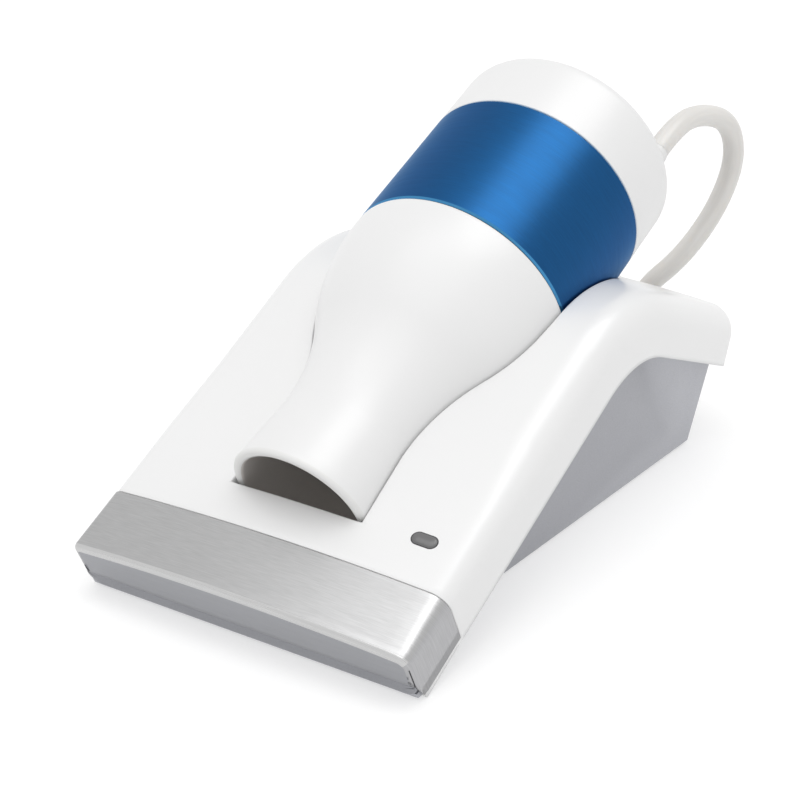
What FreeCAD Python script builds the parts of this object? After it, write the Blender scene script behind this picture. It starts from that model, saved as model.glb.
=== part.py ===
"""Desktop spirometer: a flowhead lying in the pocket of its measuring cradle.

Frame: X to the right, Y to the back, Z up, millimetres.  The origin is on the table, in the
middle of the cradle.  The cradle is a bent band of white moulding (a ramp, a crest and a short
rear slope) over a low tray.  The flowhead is a round stack on one tilted axis: cone, sleeve with
its capillary element, and rear cap.  A limp hose joins the cap to the port in the tray's back.
"""
import FreeCAD, Part
import math
import os
import re
import Sketcher
from FreeCAD import Placement, Rotation, Vector

DOC = FreeCAD.newDocument("Spirometer")

# Driving dimensions, in millimetres, degrees or counts.
SIZES = {
    # Cradle band, measured on its underside from the front face
    "front_offset": (75.9, "front floor line of the band to the origin"),
    "sole_drop": (0.6, "underside line of the ramp below the table at the front face"),
    "ramp_angle": (25.0, "slope of the ramp"),
    "rear_angle": (24.0, "slope of the rear part"),
    "ramp_run": (106.2, "front face to the apex of the underside"),
    "rear_run": (63.2, "apex of the underside to the rear end"),
    "crest_radius": (50.0, "crest on the upper side"),
    "band_depth": (16.6, "thickness of the band at its middle"),
    "band_width": (90.8, "overall width"),
    "crown_rise": (1.5, "rise of the middle over the long edges"),
    "shoulder_radius": (5.5, "rounding of the long edges"),
    "end_radius": (9.0, "upper rounding of the rear end"),
    "end_low_radius": (4.0, "lower rounding of the rear end"),
    "end_wall": (6.2, "wall of the rounded rear end"),
    "shell_wall": (2.5, "wall of the white moulding"),
    "under_gap": (0.8, "height of the tray's underside over the table"),
    # Folded metal plate on the front
    "plate_run": (17.5, "depth of the plate up the ramp"),
    "plate_wall": (0.8, "sheet thickness"),
    "plate_gap": (0.1, "air under the sheet"),
    "plate_side_low": (1.3, "lower edge of its side flanges over the band's underside"),
    "plate_front_low": (3.1, "lower edge of its front face over the band's underside"),
    # Tray
    "tray_front": (16.0, "front wall of the tub"),
    "tray_back": (141.5, "foot of the back wall"),
    "tray_front_width": (61.8, "width at the front wall"),
    "tray_back_width": (80.0, "width at the foot of the back wall"),
    "back_set": (3.4, "top of the back wall before the band's rear end"),
    "tray_wall": (2.3, "wall of the tub"),
    "tray_floor": (2.0, "floor of the tub"),
    "flange_low": (0.4, "lower face of the closing flange over the band's underside"),
    "flange_wall": (2.0, "thickness of the closing flange"),
    "fit_gap": (0.2, "gap between mouldings that slip into each other"),
    "corner_radius": (4.0, "upright corners of the tub"),
    # Recess for the connectors in the tray's back
    "recess_face": (137.0, "upright face that holds the connectors"),
    "recess_width": (52.0, "width of the recess"),
    "recess_low": (4.2, "lower face of the recess"),
    "recess_high": (18.0, "upper face of the recess"),
    "port_side": (14.0, "hose port, from the middle"),
    "port_height": (11.0, "axis height of the hose port"),
    "port_bore": (3.4, "radius of the port's hole"),
    "usb_side": (-13.0, "data socket, from the middle"),
    "usb_width": (12.0, "data socket"),
    "usb_height": (10.8, "data socket"),
    "usb_length": (16.0, "data socket"),
    # Flowhead, along its axis from the sleeve's front rim
    "head_angle": (21.7, "slope of the flowhead's axis"),
    "head_forward": (87.3, "sleeve's front rim, from the front floor line"),
    "head_height": (52.3, "sleeve's front rim, over the table"),
    "head_radius": (30.0, "sleeve, cap and wide end of the cone"),
    "sleeve_length": (39.0, "blue sleeve"),
    "cap_length": (21.0, "rear cap"),
    "cone_length": (74.0, "cone"),
    "mouth_radius": (17.5, "outside of the mouth"),
    "neck_radius": (16.6, "outside of the neck"),
    "flare_end": (2.0, "end of the flare, before the sleeve"),
    "bore_radius": (15.0, "bore for the mouthpiece"),
    "bore_depth": (20.0, "depth of that bore"),
    "cone_wall": (2.2, "wall of the cone"),
    "cone_gap": (0.3, "joint between the cone and the sleeve"),
    "sleeve_bore": (28.0, "inside radius of the sleeve"),
    "spigot_length": (4.0, "spigots of the cone and the cap"),
    "spigot_wall": (2.4, "wall of the spigots"),
    "ring_length": (5.0, "tap rings"),
    "ring_wall": (3.2, "wall of the tap rings"),
    "seal_radius": (0.8, "half the thickness of the seals"),
    "cap_wall": (3.0, "walls of the cap"),
    "cap_round": (4.5, "rounding of the cap's rear edge"),
    "outlet_radius": (20.5, "opening in the cap's rear"),
    "cell_pitch": (3.8, "radial pitch of the capillary cells"),
    "cell_wall": (0.6, "foil between the cells"),
    "cell_rings": (6, "rings of cells"),
    "pocket_gap": (0.35, "air between the flowhead and its pocket"),
    # Hose
    "hose_radius": (2.85, "outside of the hose"),
    "fitting_side": (24.4, "hose fitting on the cap's rear, to the right of the axis"),
    "fitting_up": (1.7, "hose fitting, above the axis"),
    "fitting_length": (3.0, "collar that the hose is pushed against"),
    "first_run": (12.3, "straight start of the hose at the cap"),
    "coil_radius": (31.0, "middle of the put-away turns"),
    "coil_x": (-44.0, "centre of the coil"),
    "coil_y": (122.0, "centre of the coil"),
    # Light
    "light_side": (33.2, "status light, from the middle"),
    "light_run": (29.6, "status light, up the ramp"),
    "light_width": (6.6, "length of the window"),
    "light_depth": (3.6, "width of the window"),
    # Fixings and contents
    "foot_radius": (5.0, "rubber feet"),
    "foot_sink": (0.6, "seat of the feet in the tray"),
    "boss_radius": (3.2, "screw bosses"),
    "screw_radius": (1.4, "shell screws"),
    "front_boss_side": (25.0, "front bosses, from the middle"),
    "front_boss_y": (44.0, "front bosses, from the front floor line"),
    "rear_boss_side": (32.0, "rear bosses, from the middle"),
    "rear_boss_y": (128.0, "rear bosses, from the front floor line"),
    "board_width": (54.0, "circuit board"),
    "board_length": (40.0, "circuit board"),
    "board_wall": (1.6, "circuit board"),
    "board_lift": (1.2, "pillars under the circuit board"),
    "ballast_width": (44.0, "steel plate"),
    "ballast_length": (38.0, "steel plate"),
    "ballast_wall": (3.0, "steel plate"),
    "ballast_front": (54.0, "steel plate, from the front floor line"),
    "lip_set": (0.4, "tray lip behind the band's front face"),
    "light_drop": (3.0, "lamp board under the ramp's wall"),
    "screw_reach": (9.0, "shell screws inside their bosses"),
    "board_screw": (1.0, "board screws"),
    "foot_side": (22.0, "feet, from the middle"),
    "foot_front_y": (25.0, "front feet, from the front floor line"),
    "foot_rear_y": (116.0, "rear feet, from the front floor line"),
    "usb_skin": (0.8, "skin of the data socket"),
    "sensor_size": (12.0, "pressure sensor"),
    "sensor_rise": (8.5, "height of the pressure sensor"),
    "port_collar": (4.0, "collar of the hose port"),
    "fitting_radius": (3.0, "collar on the cap"),
    "lip_round": (0.9, "rounding of the mouth's rim"),
    "duct_radius": (1.0, "pressure duct in the cap"),
    "tie_wall": (0.8, "tie round the coil"),
    "tie_width": (9.0, "tie round the coil"),
}


def make_sheet():
    """The spreadsheet that every size is read from."""
    sheet = DOC.addObject("Spreadsheet::Sheet", "Sizes")
    for row, (alias, (value, note)) in enumerate(SIZES.items(), start=1):
        sheet.set("A%d" % row, note)
        sheet.set("B%d" % row, str(value))
        sheet.setAlias("B%d" % row, alias)
    DOC.recompute()
    return sheet


SHEET = make_sheet()
NODES = {}


def bound(text):
    """A formula over the sheet's names, as an expression of the document."""
    return re.sub(r"[a-z][a-z_]*", lambda m: "Sizes." + m.group() if m.group() in SIZES else m.group(), text)


def number(text):
    """The present value of such a formula."""
    result = SHEET.evalExpression(bound(text))
    return float(getattr(result, "Value", result))


def drive(thing, **formulas):
    """Binds properties to formulas; x, y and z are the place, angle the turn about its axis."""
    places = {"x": ".Placement.Base.x", "y": ".Placement.Base.y", "z": ".Placement.Base.z",
              "angle": ".Placement.Rotation.Angle"}
    for name, text in formulas.items():
        thing.setExpression(places.get(name, name), bound(text))
    return thing


# Sketches

def plane_of(body, role):
    """One of the body's own origin planes."""
    return next(item for item in body.Origin.OriginFeatures if item.Role == role)


def new_body(label):
    """An empty body."""
    body = DOC.addObject("PartDesign::Body", label)
    body.Label = label
    return body


def new_sketch(body, role, name, lift=None):
    """A sketch on an origin plane, or lifted off it along its normal."""
    sketch = body.newObject("Sketcher::SketchObject", name)
    sketch.AttachmentSupport = [(plane_of(body, role), "")]
    sketch.MapMode = "FlatFace"
    if lift is not None:
        sketch.setExpression(".AttachmentOffset.Base.z", bound(lift))
    return sketch


def dimension(sketch, kind, where, text):
    """A constraint whose value follows a formula."""
    index = sketch.addConstraint(Sketcher.Constraint(kind, *where, number(text)))
    sketch.setExpression("Constraints[%d]" % index, bound(text))


def pin_point(sketch, edge, end, corner):
    """Holds one end of an edge at a corner given by two formulas."""
    for text, kind, axis in zip(corner, ("DistanceX", "DistanceY"), (-2, -1)):
        if text == "0":
            sketch.addConstraint(Sketcher.Constraint("PointOnObject", edge, end, axis))
        else:
            dimension(sketch, kind, (-1, 1, edge, end), text)


def arc_between(start, stop, radius, left):
    """The short arc (or half circle) from start to stop that turns left or right."""
    chord = stop - start
    half = chord.Length / 2
    radius = number(radius) if radius else half
    side = Vector(-chord.y, chord.x, 0).normalize() * (1 if left else -1)
    centre = (start + stop) / 2 + side * math.sqrt(max(radius * radius - half * half, 0))
    first, last = (start, stop) if left else (stop, start)
    angles = [math.atan2(p.y - centre.y, p.x - centre.x) for p in (first, last)]
    return Part.ArcOfCircle(Part.Circle(centre, Vector(0, 0, 1), radius), *angles)


def draw(sketch, corners, arcs=None, closed=True):
    """An outline through corners; arcs maps an edge's number to (radius, turns left).

    An arc without a radius is a half circle between two corners that lie above each other.
    """
    arcs = arcs or {}
    points = [Vector(number(across), number(up), 0) for across, up in corners]
    count = len(points) if closed else len(points) - 1
    first = sketch.GeometryCount
    ends = []
    for i in range(count):
        start, stop = points[i], points[(i + 1) % len(points)]
        if i in arcs:
            radius, left = arcs[i]
            sketch.addGeometry(arc_between(start, stop, radius, left))
            ends.append((1, 2) if left else (2, 1))
        else:
            sketch.addGeometry(Part.LineSegment(start, stop))
            ends.append((1, 2))
    for i in range(count if closed else count - 1):
        follower = (i + 1) % count
        sketch.addConstraint(Sketcher.Constraint("Coincident", first + i, ends[i][1],
                                                 first + follower, ends[follower][0]))
    for i in range(count):
        pin_point(sketch, first + i, ends[i][0], corners[i])
    if not closed:
        pin_point(sketch, first + count - 1, ends[-1][1], corners[-1])
    for i, (radius, left) in arcs.items():
        if radius:
            dimension(sketch, "Radius", (first + i,), radius)
        else:
            dimension(sketch, "DistanceX", (-1, 1, first + i, 3), corners[i][0])
    return sketch


def draw_box(sketch, left, low, right, high):
    """A rectangle."""
    return draw(sketch, [(left, low), (right, low), (right, high), (left, high)])


def draw_circle(sketch, across, up, radius):
    """A circle round a point."""
    edge = sketch.addGeometry(Part.Circle(Vector(number(across), number(up), 0), Vector(0, 0, 1),
                                          number(radius)))
    pin_point(sketch, edge, 3, (across, up))
    dimension(sketch, "Radius", (edge,), radius)
    return sketch


# Features

def pad(body, sketch, length, both=False):
    """Extrudes a sketch along its normal, or to both sides of it."""
    feature = body.newObject("PartDesign::Pad", sketch.Name + "_pad")
    feature.Profile = sketch
    feature.Midplane = both
    feature.setExpression("Length", bound(length))
    DOC.recompute()
    return feature


def pocket(body, sketch, length, both=False, forward=False):
    """Cuts a sketch into the body, against its normal, or forward along it."""
    before = body.Shape.Volume
    feature = body.newObject("PartDesign::Pocket", sketch.Name + "_pocket")
    feature.Profile = sketch
    feature.Midplane = both
    feature.Reversed = forward
    feature.setExpression("Length", bound(length))
    DOC.recompute()
    assert body.Shape.Volume < before, sketch.Name + " cuts nothing"
    return feature


def revolve(body, sketch, axis="V_Axis"):
    """Turns a sketch round one of its axes."""
    feature = body.newObject("PartDesign::Revolution", sketch.Name + "_turn")
    feature.Profile = sketch
    feature.ReferenceAxis = (sketch, [axis])
    feature.Angle = 360
    DOC.recompute()
    return feature


def pipe(body, section, path):
    """Carries a section along a path of three edges."""
    feature = body.newObject("PartDesign::AdditivePipe", section.Name + "_pipe")
    feature.Profile = section
    feature.Spine = (path, ["Edge%d" % (i + 1) for i in range(path.GeometryCount)])
    DOC.recompute()
    return feature


def spread(body, feature, axis, count):
    """Repeats a feature round an axis of its sketch."""
    pattern = body.newObject("PartDesign::PolarPattern", feature.Name + "_pattern")
    pattern.Originals = [feature]
    pattern.Axis = axis
    pattern.Angle = 360
    pattern.setExpression("Occurrences", bound(count))
    body.Tip = pattern
    DOC.recompute()
    return pattern


def round_edges(body, test, radius):
    """Fillets the edges that pass a test."""
    names = ["Edge%d" % (i + 1) for i, edge in enumerate(body.Tip.Shape.Edges) if test(edge)]
    assert names, body.Name + " has no edge to round"
    base = body.Tip
    feature = body.newObject("PartDesign::Fillet", body.Name + "_round")
    feature.Base = (base, names)
    feature.setExpression("Radius", bound(radius))
    body.Tip = feature
    DOC.recompute()
    return feature


def block(label, size, corner):
    """A box of three lengths from its lowest corner."""
    box = DOC.addObject("Part::Box", label)
    drive(box, Length=size[0], Width=size[1], Height=size[2], x=corner[0], y=corner[1], z=corner[2])
    return box


def rod(label, radius, height, foot, along="z"):
    """A cylinder from the middle of its foot, along Y or Z."""
    cylinder = DOC.addObject("Part::Cylinder", label)
    if along == "y":
        cylinder.Placement = Placement(Vector(), Rotation(Vector(-1, 0, 0), 90))
    drive(cylinder, Radius=radius, Height=height, x=foot[0], y=foot[1], z=foot[2])
    return cylinder


def joined(label, *shapes):
    """A union."""
    union = DOC.addObject("Part::MultiFuse", label)
    union.Shapes = list(shapes)
    DOC.recompute()
    return union


def shared(label, *shapes):
    """What the shapes have in common."""
    common = DOC.addObject("Part::MultiCommon", label)
    common.Shapes = list(shapes)
    DOC.recompute()
    return common


def without(label, base, *tools):
    """The base with every tool cut away."""
    cut = DOC.addObject("Part::Cut", label)
    cut.Base = base
    cut.Tool = tools[0] if len(tools) == 1 else joined(label + "_tools", *tools)
    DOC.recompute()
    return cut


def group(label, *shapes):
    """Separate solids that share a node."""
    compound = DOC.addObject("Part::Compound", label)
    compound.Links = list(shapes)
    DOC.recompute()
    return compound


def keep(label, thing):
    """Files a finished sub-part under its node's name."""
    thing.Label = label
    NODES[label] = thing
    return thing


# Frames: the ramp's own frame has Z up the slope and Y into the table; the flowhead's has Z along
# its axis.  Both are turned about X from the upright frame.

def on_ramp(thing):
    """Places a thing made in the ramp's frame."""
    thing.Placement = Placement(Vector(), Rotation(Vector(-1, 0, 0), number("90 - ramp_angle")))
    return drive(thing, angle="90 - ramp_angle", y="-front_offset", z="-sole_drop")


def on_axis(thing):
    """Places a thing made in the flowhead's frame."""
    thing.Placement = Placement(Vector(), Rotation(Vector(-1, 0, 0), number("90 - head_angle")))
    return drive(thing, angle="90 - head_angle", y="head_forward - front_offset", z="head_height")


def on_table(thing):
    """Places a thing that is measured from the front floor line."""
    return drive(thing, y="-front_offset")


# The band's section and path, in the ramp's frame

def band_section(body, name, inset, lift, low="0"):
    """The band's cross-section, drawn smaller all round by an inset, open end at low."""
    half = "(band_width / 2 - (%s))" % inset
    top = "(band_depth - (%s))" % inset
    turn = "(shoulder_radius - (%s))" % inset
    flat = "(%s - %s)" % (half, turn)
    edge = "(%s - crown_rise * (%s / %s)^2)" % (top, flat, half)
    crown = "((%s^2 + (%s - %s)^2) / (2 * (%s - %s)))" % (flat, top, edge, top, edge)
    side = "(%s - %s)" % (edge, turn)
    sketch = new_sketch(body, "XY_Plane", name, lift)
    corners = [("-" + half, "-(%s)" % low if low != "0" else "0"),
               (half, "-(%s)" % low if low != "0" else "0"),
               (half, "-" + side), (flat, "-" + edge), ("-" + flat, "-" + edge),
               ("-" + half, "-" + side)]
    return draw(sketch, corners, {2: (turn, False), 3: (crown, False), 4: (turn, False)})


def band_path(body, name, start, stop_short):
    """The underside line of the band: ramp, crest and rear slope."""
    sketch = new_sketch(body, "YZ_Plane", name)
    radius = "(crest_radius - band_depth)"
    reach = "(%s * tan((ramp_angle + rear_angle) / 2))" % radius
    turn = "(ramp_angle + rear_angle)"
    away = "(rear_run - (%s))" % stop_short
    corners = [("0", start), ("0", "ramp_run - " + reach),
               ("%s * sin(%s)" % (reach, turn), "ramp_run + %s * cos(%s)" % (reach, turn)),
               ("%s * sin(%s)" % (away, turn), "ramp_run + %s * cos(%s)" % (away, turn))]
    return draw(sketch, corners, {1: (radius, False)}, closed=False)


# A point of the band in the upright frame: run up the ramp and height over the underside

def ramp_y(run, height):
    """How far back that point is from the front floor line."""
    return "((%s) * cos(ramp_angle) - (%s) * sin(ramp_angle))" % (run, height)


def ramp_z(run, height):
    """How high that point is over the table."""
    return "((%s) * sin(ramp_angle) + (%s) * cos(ramp_angle) - sole_drop)" % (run, height)


def rear_y(run, height):
    """The same for a point of the rear slope, its run measured from the apex."""
    return "(%s + (%s) * cos(rear_angle) + (%s) * sin(rear_angle))" % (ramp_y("ramp_run", "0"), run, height)


def rear_z(run, height):
    """Its height over the table."""
    return "(%s - (%s) * sin(rear_angle) + (%s) * cos(rear_angle))" % (ramp_z("ramp_run", "0"), run, height)


def head_outline(grow, length_grow, stop):
    """Half outline of the flowhead from its mouth to stop, in radius and place on its axis."""
    neck, wide = "(neck_radius + %s)" % grow, "(head_radius + %s)" % grow
    half_run = "(((cone_length - bore_depth) - flare_end) / 2)"
    half_rise = "((head_radius - neck_radius) / 2)"
    flare = "((%s^2 + %s^2) / (2 * %s))" % (half_run, half_rise, half_rise)
    middle = ("(%s + %s)" % (neck, half_rise), "-((cone_length - bore_depth) + flare_end) / 2")
    mouth = "-(cone_length + %s)" % length_grow
    corners = [("0", mouth), ("mouth_radius + " + grow, mouth), (neck, "-(cone_length - bore_depth)"), middle,
               (wide, "-flare_end"), (wide, stop), ("0", stop)]
    return corners, {2: (flare, False), 3: (flare, True)}


# Cradle

def make_band(label, inset, start, stop_short, low="0"):
    """A length of the band as a solid."""
    body = new_body(label)
    section = band_section(body, label + "_section", inset, start, low)
    pipe(body, section, band_path(body, label + "_path", start, stop_short))
    return on_ramp(body)


def crest_line(height, rear_stop):
    """Corners and arc of a line over the underside: rear end, crest, foot of the ramp's part."""
    radius = "(crest_radius - band_depth)"
    reach = "(%s * tan((ramp_angle + rear_angle) / 2))" % radius
    corners = [(rear_y(rear_stop, height), rear_z(rear_stop, height)),
               (rear_y(reach, height), rear_z(reach, height)),
               (ramp_y("ramp_run - " + reach, height), ramp_z("ramp_run - " + reach, height))]
    return corners, "(%s + %s)" % (radius, height)


def inside_outline(floor, front, foot, height, rear_stop):
    """Side outline of the room under the band, from a floor up to a line over its underside."""
    crest, radius = crest_line(height, rear_stop)
    start = "((%s + (%s) * sin(ramp_angle)) / cos(ramp_angle))" % (front, height)
    corners = [(front, floor), (foot, floor)] + crest + [(front, ramp_z(start, height))]
    return corners, {3: (radius, True)}


def make_top_shell(light):
    """White moulding: band with open underside, pocket for the flowhead, screw bosses."""
    inset = "(plate_wall + plate_gap)"
    outer = make_band("band_outer", "0", "plate_run + plate_gap", "0")
    slope = (number("sin(ramp_angle + rear_angle)"), number("cos(ramp_angle + rear_angle)"))
    end = number("ramp_run * cos(ramp_angle + rear_angle) + rear_run")

    def end_heights(edge):
        """Heights of the edge's ends over the underside, if it lies in the rear end's plane."""
        places = [vertex.Point.y * slope[0] + vertex.Point.z * slope[1] for vertex in edge.Vertexes]
        if max(abs(place - end) for place in places) > 0.01:
            return []
        level = number("ramp_run * sin(ramp_angle + rear_angle)")
        return [vertex.Point.z * slope[0] - vertex.Point.y * slope[1] - level for vertex in edge.Vertexes]

    round_edges(outer, lambda edge: max(end_heights(edge), default=0) > 1, "end_radius")
    round_edges(outer, lambda edge: max(end_heights(edge), default=9) < 1, "end_low_radius")

    nose = new_body("band_nose")
    pad(nose, band_section(nose, "nose_section", inset, inset), "plate_run")
    sill = new_sketch(nose, "XY_Plane", "nose_sill", inset)
    draw_box(sill, "-band_width / 2", "-(plate_side_low - plate_gap)", "band_width / 2", "0")
    pad(nose, sill, "plate_run - plate_wall")
    on_ramp(nose)
    hollow = make_band("band_hollow", "shell_wall", "shell_wall + " + inset, "end_wall", "-1")

    wall = "(pocket_gap + shell_wall)"
    trough = new_body("trough")
    corners, arcs = head_outline(wall, wall, "sleeve_length + cap_length")
    revolve(trough, draw(new_sketch(trough, "XZ_Plane", "trough_outline"), corners, arcs))
    on_axis(trough)
    under = new_body("under_band")
    corners, arcs = inside_outline("under_gap + tray_floor + fit_gap", "tray_front + tray_wall",
                                   "tray_back - tray_wall", "shell_wall", "rear_run - end_wall")
    sketch = draw(new_sketch(under, "YZ_Plane", "under_outline"), corners, arcs)
    pad(under, sketch, "band_width - 2 * shell_wall", both=True)
    on_table(under)

    room = new_body("pocket_room")
    corners, arcs = head_outline("pocket_gap", "pocket_gap", "sleeve_length + 2 * cap_length")
    revolve(room, draw(new_sketch(room, "XZ_Plane", "room_outline"), corners, arcs))
    pad(room, draw(new_sketch(room, "XZ_Plane", "room_right"), corners, arcs), "2 * head_radius")
    corners = [("-(%s)" % across if across != "0" else "0", up) for across, up in corners]
    arcs = {edge: (radius, not left) for edge, (radius, left) in arcs.items()}
    pad(room, draw(new_sketch(room, "XZ_Plane", "room_left"), corners, arcs), "2 * head_radius")
    on_axis(room)

    bosses, pilots = [], []
    foot = "under_gap + tray_floor"
    for name, top in (("front", ramp_top), ("rear", rear_top)):
        side, back = name + "_boss_side", name + "_boss_y"
        rise = "%s - shell_wall / 2 - (%s)" % (top(back), foot)
        for sign, hand in (("", "right"), ("-", "left")):
            place = (sign + side, back + " - front_offset", foot)
            bosses.append(rod("%s_%s_boss" % (name, hand), "boss_radius", rise, place))
            pilots.append(rod("%s_%s_pilot" % (name, hand), "screw_radius", "screw_reach", place))

    below = block("below_table", ("2 * band_width", "2 * ramp_run", "band_depth"),
                  ("-band_width", "-ramp_run", "under_gap - band_depth"))
    lip_room = make_lip("lip_room", "fit_gap")
    solid = joined("band_solid", outer, nose)
    basin = shared("basin", trough, joined("basin_bounds", solid, under))
    whole = joined("shell_whole", without("skin", solid, hollow), basin, light["posts"], *bosses)
    shell = without("shell", whole, room, light["hole"], below, lip_room, *pilots)
    keep("top_shell", shell)
    keep("status_window", shared("window", light["window"], solid))


def ramp_top(back):
    """Height of the ramp's upper face over the table, near the long edges."""
    return "((band_depth - crown_rise + (%s) * sin(ramp_angle)) / cos(ramp_angle) - sole_drop)" % back


def rear_top(back):
    """Height of the rear slope's upper face over the table, near the long edges."""
    along = "((%s) - %s)" % (back, ramp_y("ramp_run", "0"))
    return "(%s + (band_depth - crown_rise - %s * sin(rear_angle)) / cos(rear_angle))" % (
        ramp_z("ramp_run", "0"), along)


def light_prism(label, grow, low, height):
    """A pill-shaped prism at the status light, square to the ramp."""
    body = new_body(label)
    half, reach = "(light_depth / 2 + (%s))" % grow, "(light_width / 2 - light_depth / 2)"
    left, right = "light_side - " + reach, "light_side + " + reach
    front, back = "light_run - " + half, "light_run + " + half
    sketch = new_sketch(body, "XZ_Plane", label + "_pill", low)
    draw(sketch, [(left, front), (right, front), (right, back), (left, back)],
         {1: (None, True), 3: (None, True)})
    pad(body, sketch, height)
    return on_ramp(body)


def make_light():
    """Window, light and its small board, hung under the ramp on two posts."""
    under = "(band_depth - crown_rise - shell_wall)"
    posts = new_body("light_posts")
    sketch = new_sketch(posts, "XZ_Plane", "post_circles", under + " - light_drop")
    for side in ("-", "+"):
        draw_circle(sketch, "light_side %s light_width" % side, "light_run", "light_depth / 3")
    pad(posts, sketch, "light_drop + shell_wall / 2")
    board = new_body("light_board_body")
    sketch = new_sketch(board, "XZ_Plane", "light_board_outline", under + " - light_drop - board_wall")
    draw_box(sketch, "light_side - 1.35 * light_width", "light_run - light_width / 2",
             "light_side + 1.35 * light_width", "light_run + light_width / 2")
    pad(board, sketch, "board_wall")
    lamp = new_body("lamp_body")
    sketch = new_sketch(lamp, "XZ_Plane", "lamp_outline", under + " - light_drop")
    draw_box(sketch, "light_side - light_depth / 2", "light_run - light_depth / 3",
             "light_side + light_depth / 2", "light_run + light_depth / 3")
    pad(lamp, sketch, "light_drop / 2")
    keep("light_board", on_ramp(board))
    keep("status_lamp", on_ramp(lamp))
    depth = "band_depth"
    return {"posts": on_ramp(posts),
            "hole": light_prism("window_hole", "fit_gap / 2", under + " - shell_wall", depth),
            "window": light_prism("window_prism", "0", under + " - light_drop / 2", depth)}


def make_front_plate():
    """Folded sheet over the nose of the band: top, front face and two side flanges."""
    body = new_body("plate_body")
    pad(body, band_section(body, "plate_section", "0", "0"), "plate_run")

    def is_fold(edge):
        """The edge runs round the upper front corner."""
        places = [vertex.Point for vertex in edge.Vertexes]
        return max(abs(p.z) for p in places) < 0.01 and min(p.y for p in places) < -number("plate_front_low")

    round_edges(body, is_fold, "plate_wall")
    inner = band_section(body, "plate_inside", "plate_wall", "plate_wall", "-1")
    pocket(body, inner, "plate_run", forward=True)
    low = new_sketch(body, "YZ_Plane", "plate_low")
    over = "plate_run + plate_wall"
    draw(low, [("1", "-plate_wall"), ("1", over), ("-plate_side_low", over),
               ("-plate_side_low", "plate_wall"), ("-plate_front_low", "plate_wall"),
               ("-plate_front_low", "-plate_wall")])
    pocket(body, low, "2 * band_width", both=True)
    keep("front_plate", on_ramp(body))


def make_lip(label, grow):
    """The tray's front edge below the metal plate, from side to side."""
    body = new_body(label)
    sketch = new_sketch(body, "YZ_Plane", label + "_outline")
    draw_box(sketch, "-(plate_front_low - 2 * fit_gap + %s)" % grow, "lip_set - 3 * (%s)" % grow,
             "1", "shell_wall + plate_wall + plate_gap + fit_gap + %s" % grow)
    pad(body, sketch, "band_width - 2 * (plate_wall + fit_gap) + 4 * (%s)" % grow, both=True)
    return on_ramp(body)


def is_upright(edge):
    """The edge runs straight up."""
    first, last = (vertex.Point for vertex in edge.Vertexes[:2])
    return math.hypot(last.x - first.x, last.y - first.y) < 0.01


def tub_back(stop_short, height):
    """A corner of the tub's back, before the band's rear end."""
    return rear_y("rear_run - (%s)" % stop_short, height), rear_z("rear_run - (%s)" % stop_short, height)


def make_tub(label, floor, front, foot, wall, height, stop_short):
    """The tray's tub or its inside: a plan that widens to the back, under a side outline."""
    plan = new_body(label + "_plan")
    sketch = new_sketch(plan, "XY_Plane", label + "_plan_outline", floor)
    widening = "(tray_back_width - tray_front_width) / 2 / (tray_back - tray_front)"
    back = "(tray_back + band_depth)"
    near, far = "(tray_front_width / 2 - (%s))" % wall, "(tray_back_width / 2 + band_depth * %s - (%s))" % (widening, wall)
    draw(sketch, [("-" + near, front), (near, front), (far, back), ("-" + far, back)])
    pad(plan, sketch, "head_height")
    if wall == "0":
        round_edges(plan, is_upright, "corner_radius")
    on_table(plan)
    side = new_body(label + "_side")
    corners, arcs = inside_outline(floor, front, foot, height, "rear_run - (%s)" % stop_short)
    if wall == "0":
        corners[2:2] = [tub_back("back_set", "-fit_gap"), tub_back(stop_short, "-fit_gap")]
        arcs = {edge + 2: arc for edge, arc in arcs.items()}
    sketch = draw(new_sketch(side, "YZ_Plane", label + "_side_outline"), corners, arcs)
    pad(side, sketch, "band_width", both=True)
    on_table(side)
    return shared(label, plan, side)


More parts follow.
